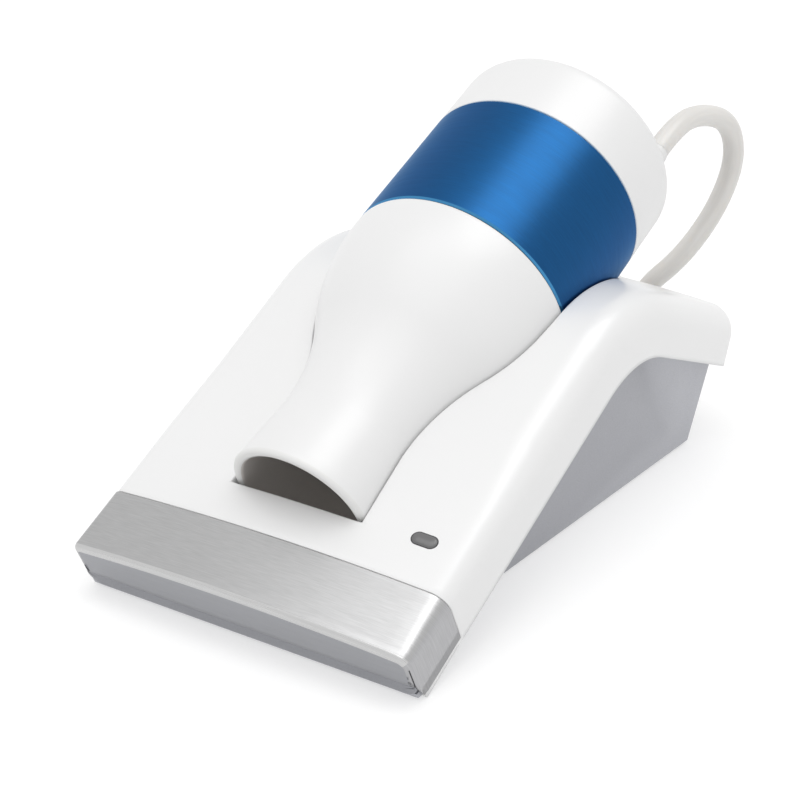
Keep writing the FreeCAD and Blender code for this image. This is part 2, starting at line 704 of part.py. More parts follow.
def make_tray():
    """Grey tray: flange that closes the band's underside, tub, front lip, connector recess."""
    slip = "(shell_wall + fit_gap)"
    flange = new_body("tray_flange")
    section = new_sketch(flange, "XY_Plane", "flange_section", "shell_wall")
    draw_box(section, "-(band_width / 2 - %s)" % slip, "-(flange_low + flange_wall)",
             "band_width / 2 - " + slip, "-flange_low")
    pipe(flange, section, band_path(flange, "flange_path", "shell_wall", "end_wall + fit_gap"))
    on_ramp(flange)
    tub = make_tub("tub", "under_gap", "tray_front", "tray_back", "0", "flange_low + flange_wall",
                   "end_wall + fit_gap")
    inside = make_tub("tub_inside", "under_gap + tray_floor", "tray_front + tray_wall",
                      "tray_back - tray_wall", "tray_wall", "flange_low + flange_wall + fit_gap",
                      "end_wall + fit_gap + tray_wall")
    half, face = "recess_width / 2", "recess_face - front_offset"
    housing = block("recess_housing",
                    ("recess_width + 2 * tray_wall", "band_width", "recess_high + tray_wall - under_gap"),
                    ("-(%s) - tray_wall" % half, face + " - tray_wall", "under_gap"))
    recess = block("recess", ("recess_width", "band_width", "recess_high - recess_low"),
                   ("-(%s)" % half, face, "recess_low"))
    port = rod("port_hole", "port_bore + fit_gap / 2", "3 * tray_wall",
               ("port_side", face + " - 2 * tray_wall", "port_height"), along="y")
    socket = block("socket_hole", ("usb_width + fit_gap", "3 * tray_wall", "usb_height + fit_gap"),
                   ("usb_side - usb_width / 2 - fit_gap / 2", face + " - 2 * tray_wall",
                    BOARD_TOP + " - fit_gap / 2"))
    pillars, holes = [], []
    for number_, (across, back) in enumerate(board_corners()):
        pillars.append(rod("board_pillar_%d" % number_, "boss_radius - screw_radius / 2", "board_lift",
                           (across, back, "under_gap + tray_floor")))
        holes.append(rod("board_hole_%d" % number_, "board_screw", "board_lift + tray_floor / 2",
                         (across, back, "under_gap + tray_floor / 2")))
    for number_, (across, back) in enumerate(boss_places()):
        holes.append(rod("shell_hole_%d" % number_, "screw_radius + fit_gap", "2 * tray_floor",
                         (across, back, "under_gap - tray_floor / 2")))
        holes.append(rod("head_hole_%d" % number_, "2 * screw_radius + fit_gap / 2", "tray_floor / 2",
                         (across, back, "under_gap")))
    for number_, (across, back) in enumerate(foot_places()):
        holes.append(rod("foot_seat_%d" % number_, "foot_radius + fit_gap / 2", "foot_sink",
                         (across, back, "under_gap")))
    below = block("below_tray", ("2 * band_width", "2 * ramp_run", "band_depth"),
                  ("-band_width", "-ramp_run", "under_gap - band_depth"))
    open_tub = without("open_tub", joined("tub_and_flange", flange, tub, make_lip("lip", "0")), inside)
    walls = joined("tray_whole", open_tub, shared("recess_walls", housing, tub), *pillars)
    keep("base_tray", without("tray", walls, recess, port, socket, below, *holes))


BOARD_TOP = "(under_gap + tray_floor + board_lift + board_wall)"
BOARD_BACK = "(recess_face - tray_wall - fit_gap - front_offset)"


def board_corners():
    """The circuit board's screws."""
    side = "board_width / 2 - boss_radius"
    return [(sign + "(%s)" % side, "%s - %s" % (BOARD_BACK, away))
            for sign in ("-", "") for away in ("(board_length - boss_radius)", "boss_radius")]


def boss_places():
    """The screws that hold the shell to the tray."""
    return [(sign + name + "_boss_side", name + "_boss_y - front_offset")
            for sign in ("-", "") for name in ("front", "rear")]


def foot_places():
    """The four feet."""
    return [(sign + "foot_side", back + " - front_offset")
            for sign in ("-", "") for back in ("foot_front_y", "foot_rear_y")]


def make_fixings():
    """Feet, shell screws, board screws and the steel plate."""
    feet = [rod("foot_%d" % i, "foot_radius", "under_gap + foot_sink", (across, back, "0"))
            for i, (across, back) in enumerate(foot_places())]
    keep("rubber_feet", group("feet", *feet))
    screws = []
    for i, (across, back) in enumerate(boss_places()):
        head = rod("head_%d" % i, "2 * screw_radius", "tray_floor / 2 - fit_gap", (across, back, "under_gap + fit_gap"))
        shank = rod("shank_%d" % i, "screw_radius - fit_gap / 2", "screw_reach - fit_gap + tray_floor / 2",
                    (across, back, "under_gap + tray_floor / 2"))
        screws.append(joined("screw_%d" % i, head, shank))
    keep("shell_screws", group("screws", *screws))
    small = []
    for i, (across, back) in enumerate(board_corners()):
        head = rod("small_head_%d" % i, "2 * board_screw", "board_screw", (across, back, BOARD_TOP))
        shank = rod("small_shank_%d" % i, "board_screw - fit_gap / 2", "board_wall + board_lift",
                    (across, back, "under_gap + tray_floor"))
        small.append(joined("small_screw_%d" % i, head, shank))
    keep("board_screws", group("small_screws", *small))
    plate = block("steel_plate", ("ballast_width", "ballast_length", "ballast_wall"),
                  ("-ballast_width / 2", "ballast_front - front_offset", "under_gap + tray_floor"))
    keep("ballast_plate", plate)


def make_electronics():
    """Circuit board, pressure sensor, inner tube, hose port and data socket."""
    board = block("board_blank", ("board_width", "board_length", "board_wall"),
                  ("-board_width / 2", BOARD_BACK + " - board_length", BOARD_TOP + " - board_wall"))
    holes = [rod("board_bore_%d" % i, "board_screw", "3 * board_wall", (across, back, BOARD_TOP + " - 2 * board_wall"))
             for i, (across, back) in enumerate(board_corners())]
    keep("circuit_board", without("board", board, *holes))
    face = "recess_face - front_offset"
    socket = block("socket_shell", ("usb_width", "usb_length", "usb_height"),
                   ("usb_side - usb_width / 2", face + " + fit_gap - usb_length", BOARD_TOP))
    mouth = block("socket_mouth", ("usb_width - 2 * usb_skin", "usb_length - 2 * usb_skin", "usb_height - 2 * usb_skin"),
                  ("usb_side - usb_width / 2 + usb_skin", face + " + 2 * fit_gap + 2 * usb_skin - usb_length",
                   BOARD_TOP + " + usb_skin"))
    tongue = block("socket_tongue", ("usb_width / 2", "usb_length - 2 * usb_skin", "usb_height / 3"),
                   ("usb_side - usb_width / 4", face + " - usb_length + usb_skin", BOARD_TOP + " + usb_height / 3"))
    keep("data_socket", joined("socket", without("socket_frame", socket, mouth), tongue))

    reach = "2 * port_bore"
    sensor_back = "(recess_face - front_offset - tray_wall - 3 * port_bore)"
    case = block("sensor_case", ("sensor_size", "sensor_size", "sensor_rise"),
                 ("port_side - sensor_size / 2", sensor_back + " - sensor_size - port_bore", BOARD_TOP))
    nipple = rod("sensor_nipple", "port_bore / 2", "port_bore", ("port_side", sensor_back + " - port_bore", "port_height"),
                 along="y")
    keep("pressure_sensor", joined("sensor", case, nipple))
    keep("inner_tube", rod("inner_tube_rod", "port_bore / 1.6", reach, ("port_side", sensor_back, "port_height"), along="y"))
    tail = sensor_back + " + " + reach
    shank = rod("port_shank", "port_bore", "port_bore + tray_wall + port_collar", ("port_side", tail, "port_height"), along="y")
    collar = rod("port_flange", "port_bore + 1.5 * fit_gap + port_collar / 2", "port_collar", ("port_side", face, "port_height"),
                 along="y")
    keep("hose_port", joined("port", shank, collar))


# Flowhead

def ring(label, corners, arcs=None):
    """A turned piece on the flowhead's axis, from its half outline."""
    body = new_body(label + "_body")
    revolve(body, draw(new_sketch(body, "XZ_Plane", label + "_outline"), corners, arcs))
    return on_axis(body)


def seal_groove(radius, low):
    """Three sides of a seal's seat in a spigot, going up its outside."""
    floor = "(%s) - 2 * seal_radius" % radius
    high = "(%s) + 2 * seal_radius + fit_gap" % low
    return [(radius, low), (floor, low), (floor, high), (radius, high)]


def make_seal(label, radius, low):
    """A rubber ring of square section in that seat."""
    inner, outer = "(%s) - 2 * seal_radius" % radius, "(%s) + fit_gap / 4" % radius
    bottom = "(%s) + fit_gap / 2" % low
    top = bottom + " + 2 * seal_radius"
    keep(label, ring(label + "_ring", [(inner, bottom), (outer, bottom), (outer, top), (inner, top)]))


def flare(radius_change):
    """Radius of the two arcs of an S-shaped flare that widens by so much."""
    half_run, half_rise = "(((cone_length - bore_depth) - flare_end) / 2)", "((%s) / 2)" % radius_change
    return "((%s^2 + %s^2) / (2 * %s))" % (half_run, half_rise, half_rise)


def make_cone():
    """Mouth cone: bore for the mouthpiece, S-shaped flare, spigot with a seal."""
    spigot = "(sleeve_bore - cone_gap)"
    inner = "(%s - spigot_wall)" % spigot
    middle = "-((cone_length - bore_depth) + flare_end) / 2"
    seal_low = "spigot_length / 2 - seal_radius"
    near, far = "-cone_length + lip_round / 3", "-cone_length + lip_round"
    outside = [("bore_radius + lip_round", "-cone_length"), ("mouth_radius - lip_round", "-cone_length"),
               ("mouth_radius - lip_round / 3", near), ("mouth_radius", far),
               ("neck_radius", "-(cone_length - bore_depth)"),
               ("(neck_radius + head_radius) / 2", middle), ("head_radius", "-flare_end"),
               ("head_radius", "-cone_gap"), (spigot, "-cone_gap")]
    inside = [(spigot, "spigot_length"), (inner, "spigot_length"), (inner, "-flare_end"),
              ("(bore_radius + %s) / 2" % inner, middle), ("bore_radius", "-(cone_length - bore_depth)"),
              ("bore_radius", far), ("bore_radius + lip_round / 3", near)]
    count = len(outside) + 4
    arcs = {4: (flare("head_radius - neck_radius"), False), 5: (flare("head_radius - neck_radius"), True),
            count + 2: (flare(inner + " - bore_radius"), False), count + 3: (flare(inner + " - bore_radius"), True)}
    cone = ring("cone", outside + seal_groove(spigot, seal_low) + inside, arcs)

    keep("mouth_cone", cone)
    make_seal("front_seal", spigot, seal_low)


def make_sleeve():
    """Aluminium sleeve with small chamfers, and the two tap rings inside it."""
    bevel = "fit_gap * 2"
    keep("blue_sleeve", ring("sleeve", [
        ("sleeve_bore", "0"), ("head_radius - " + bevel, "0"), ("head_radius", bevel),
        ("head_radius", "sleeve_length - " + bevel), ("head_radius - " + bevel, "sleeve_length"),
        ("sleeve_bore", "sleeve_length")]))
    for label, low in (("front_tap_ring", CORE_LOW + " - ring_length"), ("rear_tap_ring", CORE_HIGH)):
        outer, third = "sleeve_bore - fit_gap / 2", "ring_length / 3"
        gallery = outer + " - ring_wall / 2"
        keep(label, ring(label + "_turned", [
            ("sleeve_bore - ring_wall", low), (outer, low), (outer, "%s + %s" % (low, third)),
            (gallery, "%s + %s" % (low, third)), (gallery, "%s + 2 * %s" % (low, third)),
            (outer, "%s + 2 * %s" % (low, third)), (outer, low + " + ring_length"),
            ("sleeve_bore - ring_wall", low + " + ring_length")]))


CORE_LOW = "(spigot_length + cone_gap + ring_length)"
CORE_HIGH = "(sleeve_length - spigot_length - ring_length)"


def make_core():
    """Capillary element: rings of narrow straight channels between thin foils."""
    body = new_body("core_body")
    sketch = new_sketch(body, "XY_Plane", "core_outline", CORE_LOW)
    draw_circle(sketch, "0", "0", "sleeve_bore - fit_gap / 2")
    pad(body, sketch, "%s - %s" % (CORE_HIGH, CORE_LOW))
    rim = "(sleeve_bore - fit_gap / 2 - 2 * cell_wall)"
    for index in range(int(number("cell_rings"))):
        high = "(%s - %d * cell_pitch)" % (rim, index)
        low = "(%s - cell_pitch + cell_wall)" % high
        count = "round(2 * pi * (%s - cell_pitch / 2) / cell_pitch)" % high
        half = "((%%s) * tan(180 / %s) - cell_wall / 2)" % count
        cell = new_sketch(body, "XY_Plane", "cell_%d" % index, CORE_LOW)
        draw(cell, [("-" + half % low, low), (half % low, low), (half % high, high), ("-" + half % high, high)])
        cut = pocket(body, cell, "%s - %s" % (CORE_HIGH, CORE_LOW), forward=True)
        spread(body, cut, (cell, ["N_Axis"]), count)
    keep("capillary_core", on_axis(body))


def on_head(body, name, radius, low, length):
    """Adds a cylinder at the hose fitting's place, along the flowhead's axis."""
    sketch = new_sketch(body, "XY_Plane", name, low)
    draw_circle(sketch, "fitting_side", "-fitting_up", radius)
    return pad(body, sketch, length)


def make_cap():
    """Rear cap with a wide outlet, a boss for the hose fitting, the fitting and its duct."""
    spigot = "(sleeve_bore - fit_gap / 2)"
    inner = "(%s - spigot_wall)" % spigot
    end = "(sleeve_length + cap_length)"
    bottom = "(sleeve_length - spigot_length)"
    seal_low = "sleeve_length - spigot_length / 2 - seal_radius"
    step = "(sleeve_length + cap_wall)"
    outside = [(inner, bottom), (spigot, bottom)] + seal_groove(spigot, seal_low)
    outside += [(spigot, "sleeve_length"), ("head_radius", "sleeve_length"), ("head_radius", end + " - cap_round")]
    rest = [("head_radius - cap_round", end), ("outlet_radius", end), ("outlet_radius", end + " - cap_wall"),
            ("head_radius - cap_wall", end + " - cap_wall"), ("head_radius - cap_wall", step),
            (inner, step + " - cap_wall / 2")]
    cap = ring("cap", outside + rest, {len(outside) - 1: ("cap_round", True)})
    boss = new_body("cap_boss")
    on_head(boss, "cap_boss_circle", "fitting_radius", end + " - 3 * cap_wall", "2.5 * cap_wall")
    bore = new_body("cap_bore")
    on_head(bore, "cap_bore_circle", "fitting_radius / 2", end + " - 4 * cap_wall", "5 * cap_wall")
    limit = ring("cap_limit", [("0", end + " - 4 * cap_wall"), ("head_radius - cap_wall / 2", end + " - 4 * cap_wall"),
                               ("head_radius - cap_wall / 2", end), ("0", end)])
    whole = joined("cap_whole", cap, shared("boss_trimmed", on_axis(boss), limit))
    keep("rear_cap", without("cap_cut", whole, on_axis(bore)))
    make_seal("rear_seal", spigot, seal_low)
    fitting = new_body("fitting_body")
    on_head(fitting, "fitting_stem", "fitting_radius / 2 - fit_gap / 2", end + " - 2 * cap_wall",
            "2 * cap_wall + fitting_length")
    on_head(fitting, "fitting_collar", "fitting_radius", end, "fitting_length")
    keep("hose_fitting", on_axis(fitting))
    duct = new_body("duct_body")
    on_head(duct, "duct_circle", "duct_radius", CORE_HIGH + " + ring_length", "%s - 2 * cap_wall - %s - ring_length"
            % (end, CORE_HIGH))
    keep("pressure_duct", on_axis(duct))


# Hose: straight runs joined by tangent arcs

# Free points of the two stretches; the upper one's first points follow the fitting.
UPPER_ROUTE = [(25.6, 94.6, 80.9), (27.3, 108.3, 75.3), (27.0, 115.2, 62.7), (23.4, 112.7, 48.0),
               (17.2, 105.3, 34.9), (7.8, 101.5, 24.9), (3.0, 106.2, 12.3), (-4.6, 112.7, 5.7),
               (-9.6, 122.2, 3.4)]
LOWER_ROUTE = [(-44.0, 88.2, 8.5), (-31.5, 88.2, 7.6), (-18.5, 88.9, 5.4), (-5.5, 88.6, 4.4),
               (5.3, 83.8, 5.6), (12.0, 75.0, 8.9)]


def on_axis_point(side, up, along):
    """A point of the flowhead's frame, in the upright frame."""
    across, rise, run = number(side), number(up), number(along)
    tilt = math.radians(number("head_angle"))
    back = number("head_forward - front_offset") + run * math.cos(tilt) - rise * math.sin(tilt)
    return across, back, number("head_height") + run * math.sin(tilt) + rise * math.cos(tilt)


def hose_tube(label, route):
    """A round tube along a route, with the largest arc that each pair of runs takes."""
    points = [Vector(*place) for place in route]
    edges, radii, start, total = [], [], points[0], 0.0
    for before, corner, after in zip(points, points[1:], points[2:]):
        back, ahead = (before - corner).normalize(), (after - corner).normalize()
        half_turn = (math.pi - back.getAngle(ahead)) / 2
        trim = 0.45 * min((before - corner).Length, (after - corner).Length)
        radius = trim / math.tan(half_turn)
        first, last = corner + back * trim, corner + ahead * trim
        towards = (back + ahead).normalize()
        middle = corner + towards * (radius / math.cos(half_turn) - radius)
        edges += [Part.LineSegment(start, first).toShape(), Part.Arc(first, middle, last).toShape()]
        radii.append(round(radius, 1))
        start = last
    edges.append(Part.LineSegment(start, points[-1]).toShape())
    path = Part.Wire(edges)
    radius = number("hose_radius")
    disc = Part.Wire(Part.makeCircle(radius, points[0], points[1] - points[0]))
    solid = path.makePipeShell([disc], True, True)
    area = math.pi * radius * radius
    assert abs(solid.Volume - area * path.Length) < 0.01 * solid.Volume, label + " is not a true tube"
    print(label, "radii", radii, "length", round(path.Length, 1))
    tube = DOC.addObject("Part::Feature", label + "_solid")
    tube.Shape = solid
    keep(label, tube)


def make_hose():
    """The hose from the cap to the port, its put-away coil and the tie round the coil."""
    collar = "sleeve_length + cap_length + fitting_length"
    leaving = [on_axis_point("fitting_side", "fitting_up", collar),
               on_axis_point("fitting_side", "fitting_up", collar + " + first_run")]
    port = (number("port_side"), number("recess_face - front_offset + port_collar"), number("port_height"))
    hose_tube("upper_hose", leaving + UPPER_ROUTE)
    hose_tube("lower_hose", LOWER_ROUTE + [port])
    outer = rod("coil_outer", "coil_radius + 2 * hose_radius", "4 * hose_radius", ("coil_x", "coil_y", "0"))
    inner = rod("coil_inner", "coil_radius - 2 * hose_radius", "4 * hose_radius", ("coil_x", "coil_y", "0"))
    keep("hose_coil", without("coil", outer, inner))
    reach = "(2 * hose_radius + tie_wall)"
    around = block("tie_outer", ("2 * " + reach, "tie_width", "4 * hose_radius + tie_wall"),
                   ("coil_x - coil_radius - " + reach, "coil_y - tie_width / 2", "0"))
    room = block("tie_inner", ("4 * hose_radius", "2 * tie_width", "4 * hose_radius - tie_wall"),
                 ("coil_x - coil_radius - 2 * hose_radius", "coil_y - tie_width", "tie_wall"))
    keep("hose_tie", without("tie", around, room))


def corners_of(shape):
    """Lowest and highest corner of a shape's bounds."""
    box = shape.BoundBox
    return [round(v, 1) for v in (box.XMin, box.XMax, box.YMin, box.YMax, box.ZMin, box.ZMax)]


def check_document():
    """Stops if any object failed or any node's shape is empty or invalid."""
    DOC.recompute()
    failed = [thing.Name for thing in DOC.Objects if {"Invalid", "Error"} & set(thing.State)]
    assert not failed, "failed objects: " + ", ".join(failed)
    for label, thing in NODES.items():
        shape = thing.Shape
        assert not shape.isNull() and shape.isValid(), label + " has no valid shape"
        print(label, "solids", len(shape.Solids), "volume", round(shape.Volume, 1), corners_of(shape))


def write_parts():
    """Writes each node's STEP file."""
    os.makedirs("parts", exist_ok=True)
    for label, thing in NODES.items():
        thing.Shape.exportStep("parts/%s.step" % label)


def main():
    """Builds, checks and writes the spirometer."""
    make_top_shell(make_light())
    make_front_plate()
    make_tray()
    make_fixings()
    make_electronics()
    make_cone()
    make_sleeve()
    make_core()
    make_cap()
    make_hose()
    check_document()
    write_parts()
    print(len(NODES), "nodes")


main()
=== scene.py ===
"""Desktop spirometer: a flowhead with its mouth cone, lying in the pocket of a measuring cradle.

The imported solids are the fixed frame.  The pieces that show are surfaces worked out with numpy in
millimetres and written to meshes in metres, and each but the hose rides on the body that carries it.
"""
import sys
import logging
import math
from dataclasses import dataclass, field, replace
from enum import Enum, IntEnum

import bmesh
import bpy
import numpy as np
from mathutils import Matrix


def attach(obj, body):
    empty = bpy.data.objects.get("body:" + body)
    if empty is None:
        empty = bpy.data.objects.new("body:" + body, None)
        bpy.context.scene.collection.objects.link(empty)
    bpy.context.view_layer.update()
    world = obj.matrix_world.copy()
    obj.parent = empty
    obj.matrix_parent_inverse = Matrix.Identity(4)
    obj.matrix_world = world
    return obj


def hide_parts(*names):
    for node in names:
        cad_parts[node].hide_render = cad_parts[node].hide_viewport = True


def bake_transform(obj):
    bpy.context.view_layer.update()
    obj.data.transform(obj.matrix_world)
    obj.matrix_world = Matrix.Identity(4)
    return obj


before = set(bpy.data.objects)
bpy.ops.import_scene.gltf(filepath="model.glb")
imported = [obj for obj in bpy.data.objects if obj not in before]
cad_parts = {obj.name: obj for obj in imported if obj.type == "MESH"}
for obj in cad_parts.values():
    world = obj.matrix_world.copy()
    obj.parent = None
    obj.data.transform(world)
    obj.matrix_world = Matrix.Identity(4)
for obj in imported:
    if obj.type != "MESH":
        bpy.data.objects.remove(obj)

LOG = logging.getLogger("spirometer")
MM = 0.001
Array = np.ndarray
Triple = tuple[float, float, float]
Colour = Triple
MERGE_WITHIN = 2e-6  # metres; vertices nearer than this are one
TURN_STEPS = 144  # steps round the flowhead


# Small tools for curves and grids

def smooth_step(value: Array, low: float, high: float) -> Array:
    """Rises from 0 at low to 1 at high, as 3t^2 - 2t^3.

    Args:
        value: Where to read the curve.
        low: End of the flat start.
        high: Start of the flat end.

    Returns:
        The curve's heights.
    """
    t = np.clip((np.asarray(value, float) - low) / (high - low), 0.0, 1.0)
    return t * t * (3.0 - 2.0 * t)


def rounded_line(corners: list[tuple[float, float, float]], steps: int = 5) -> Array:
    """A closed outline with rounded corners.

    Each corner (a, b, r) gives way to the arc of radius r that touches both of its sides; the arc
    is sampled at equal angles between its two feet.

    Args:
        corners: Two coordinates and a rounding radius for each corner, in order.
        steps: Steps along each arc.

    Returns:
        Points (n, 2) of the outline, its start not repeated.
    """
    points = np.array([corner[:2] for corner in corners], float)
    rows = []
    for index, (_, _, radius) in enumerate(corners):
        here = points[index]
        before = points[index - 1] - here
        after = points[(index + 1) % len(points)] - here
        before, after = before / np.linalg.norm(before), after / np.linalg.norm(after)
        half = math.acos(float(np.clip(before @ after, -1.0, 1.0))) / 2.0
        if radius <= 0.0 or abs(half - math.pi / 2.0) < 1e-4:
            rows.append(here[None, :])
            continue
        middle = here + (before + after) / np.linalg.norm(before + after) * radius / math.sin(half)
        foot = here + before * radius / math.tan(half) - middle
        end = here + after * radius / math.tan(half) - middle
        sweep = math.atan2(foot[0] * end[1] - foot[1] * end[0], float(foot @ end))
        angle = np.linspace(0.0, sweep, steps + 1)[:, None]
        side = np.array([-foot[1], foot[0]])
        rows.append(middle + foot * np.cos(angle) + side * np.sin(angle))
    return np.concatenate(rows)


def bezier(first: Array, corner: Array, last: Array, count: int) -> Array:
    """Inner points of quadratic curves that round a corner.

    The curve is (1-t)^2 first + 2t(1-t) corner + t^2 last, read at count equal steps of t between
    its two ends, which are left out.

    Args:
        first: Starts of the curves, (..., 3).
        corner: Their middle control points.
        last: Their ends.
        count: Number of points for each curve.

    Returns:
        Points (..., count, 3).
    """
    t = (np.arange(1, count + 1) / (count + 1))[:, None]
    return ((1 - t) ** 2 * first[..., None, :] + 2 * t * (1 - t) * corner[..., None, :]
            + t ** 2 * last[..., None, :])


@dataclass
class Patch:
    """A grid of points that becomes a mesh.

    Attributes:
        points: The grid (rows, columns, 3) in millimetres.
        wrap_rows: The last row joins the first.
        wrap_columns: The last column joins the first.
        paint: Material number of each quad, or None for 0.
    """

    points: Array
    wrap_rows: bool = False
    wrap_columns: bool = False
    paint: Array | None = None

    def quads(self) -> Array:
        """Corner numbers of the quads: each joins a vertex to its next column and next row."""
        rows, columns = self.points.shape[:2]
        down = np.arange(rows if self.wrap_rows else rows - 1)[:, None]
        across = np.arange(columns if self.wrap_columns else columns - 1)[None, :]
        below, beside = (down + 1) % rows, (across + 1) % columns
        return np.stack([down * columns + across, down * columns + beside,
                         below * columns + beside, below * columns + across], axis=-1).reshape(-1, 4)

    def chart(self) -> Array:
        """Surface coordinates of every quad corner: metres along the columns and the rows.

        A column's place is its mean distance from the first one, measured along the rows; a row's
        place is its mean distance from the first one, measured along the columns.
        """
        rows, columns = self.points.shape[:2]
        loop_rows = np.concatenate([self.points, self.points[:1]]) if self.wrap_rows else self.points
        loop_columns = (np.concatenate([self.points, self.points[:, :1]], axis=1)
                        if self.wrap_columns else self.points)
        along = np.linalg.norm(np.diff(loop_rows, axis=0), axis=2).mean(axis=1)
        across = np.linalg.norm(np.diff(loop_columns, axis=1), axis=2).mean(axis=0)
        v = np.concatenate([[0.0], np.cumsum(along)]) * MM
        u = np.concatenate([[0.0], np.cumsum(across)]) * MM
        count_down, count_across = len(v) - 1, len(u) - 1
        left, right = np.meshgrid(u[:-1], v[:-1]), np.meshgrid(u[1:], v[1:])
        corners = np.stack([np.stack([left[0], left[1]], -1), np.stack([right[0], left[1]], -1),
                            np.stack([right[0], right[1]], -1), np.stack([left[0], right[1]], -1)], axis=2)
        return corners.reshape(count_down * count_across * 4, 2)


def make_piece(name: str, patches: list[Patch], finishes: list["Finish"], sharp: float = 35.0) -> bpy.types.Object:
    """Puts patches into one mesh object at the origin, merges doubles and turns all faces outwards.

    Args:
        name: Name of the piece.
        patches: Its surfaces, in millimetres.
        finishes: Its materials, in the order of the patches' paint numbers.
        sharp: Edges that turn by more than this many degrees stay sharp.

    Returns:
        The object, linked to the scene.
    """
    offset, vertices, quads, charts, paints = 0, [], [], [], []
    for patch in patches:
        corners = patch.quads()
        vertices.append(patch.points.reshape(-1, 3) * MM)
        quads.append(corners + offset)
        charts.append(patch.chart())
        paints.append(np.zeros(len(corners), int) if patch.paint is None else patch.paint.ravel())
        offset += patch.points.shape[0] * patch.points.shape[1]
    mesh = bpy.data.meshes.new(name)
    mesh.from_pydata(np.concatenate(vertices).tolist(), [], np.concatenate(quads).tolist())
    mesh.uv_layers.new(name="Chart").data.foreach_set("uv", np.concatenate(charts).astype(np.float32).ravel())
    mesh.polygons.foreach_set("material_index", np.concatenate(paints).astype(np.int32))
    work = bmesh.new()
    work.from_mesh(mesh)
    bmesh.ops.remove_doubles(work, verts=work.verts, dist=MERGE_WITHIN)
    bmesh.ops.dissolve_degenerate(work, edges=work.edges, dist=MERGE_WITHIN / 2.0)
    bmesh.ops.recalc_face_normals(work, faces=work.faces)
    work.to_mesh(mesh)
    work.free()
    return finish_piece(name, mesh, finishes, sharp)


def finish_piece(name: str, mesh: bpy.types.Mesh, finishes: list["Finish"], sharp: float) -> bpy.types.Object:
    """Shades a mesh, gives it its materials and links its object.

    Args:
        name: Name of the piece.
        mesh: Its mesh, in metres.
        finishes: Its materials.
        sharp: Angle of the edges that stay sharp, in degrees.

    Returns:
        The object.
    """
    mesh.shade_smooth()
    mesh.set_sharp_from_angle(angle=math.radians(sharp))
    for finish in finishes:
        mesh.materials.append(dress(finish))
    mesh.update()
    piece = bpy.data.objects.new(name, mesh)
    bpy.context.scene.collection.objects.link(piece)
    return piece


def merged_copy(node: str, name: str, finishes: list["Finish"], sharp: float = 28.0) -> bpy.types.Object:
    """A smooth-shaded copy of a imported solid, with its loose triangles joined.

    Args:
        node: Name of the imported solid.
        name: Name of the new piece.
        finishes: Its materials.
        sharp: Angle of the edges that stay sharp, in degrees.

    Returns:
        The new piece.
    """
    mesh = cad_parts[node].data.copy()
    mesh.name = name
    mesh.materials.clear()
    work = bmesh.new()
    work.from_mesh(mesh)
    bmesh.ops.remove_doubles(work, verts=work.verts, dist=MERGE_WITHIN)
    work.to_mesh(mesh)
    work.free()
    return finish_piece(name, mesh, finishes, sharp)


def settle(piece: bpy.types.Object, body: str, slot: str, *nodes: str) -> bpy.types.Object:
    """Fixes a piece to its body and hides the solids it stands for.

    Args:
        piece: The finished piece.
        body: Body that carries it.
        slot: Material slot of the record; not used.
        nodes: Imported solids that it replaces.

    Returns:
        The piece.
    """
    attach(piece, body)
    if nodes:
        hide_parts(*nodes)
    LOG.info("%s: %d faces, rides on %s", piece.name, len(piece.data.polygons), body)
    return piece


# Finishes

class Grain(Enum):
    """Direction of a brushed or drawn surface, as stretch factors of its noise."""

    ACROSS = (0.03, 1.0, 1.0)
    LENGTHWISE = (1.0, 0.03, 1.0)
    EVEN = (1.0, 1.0, 1.0)


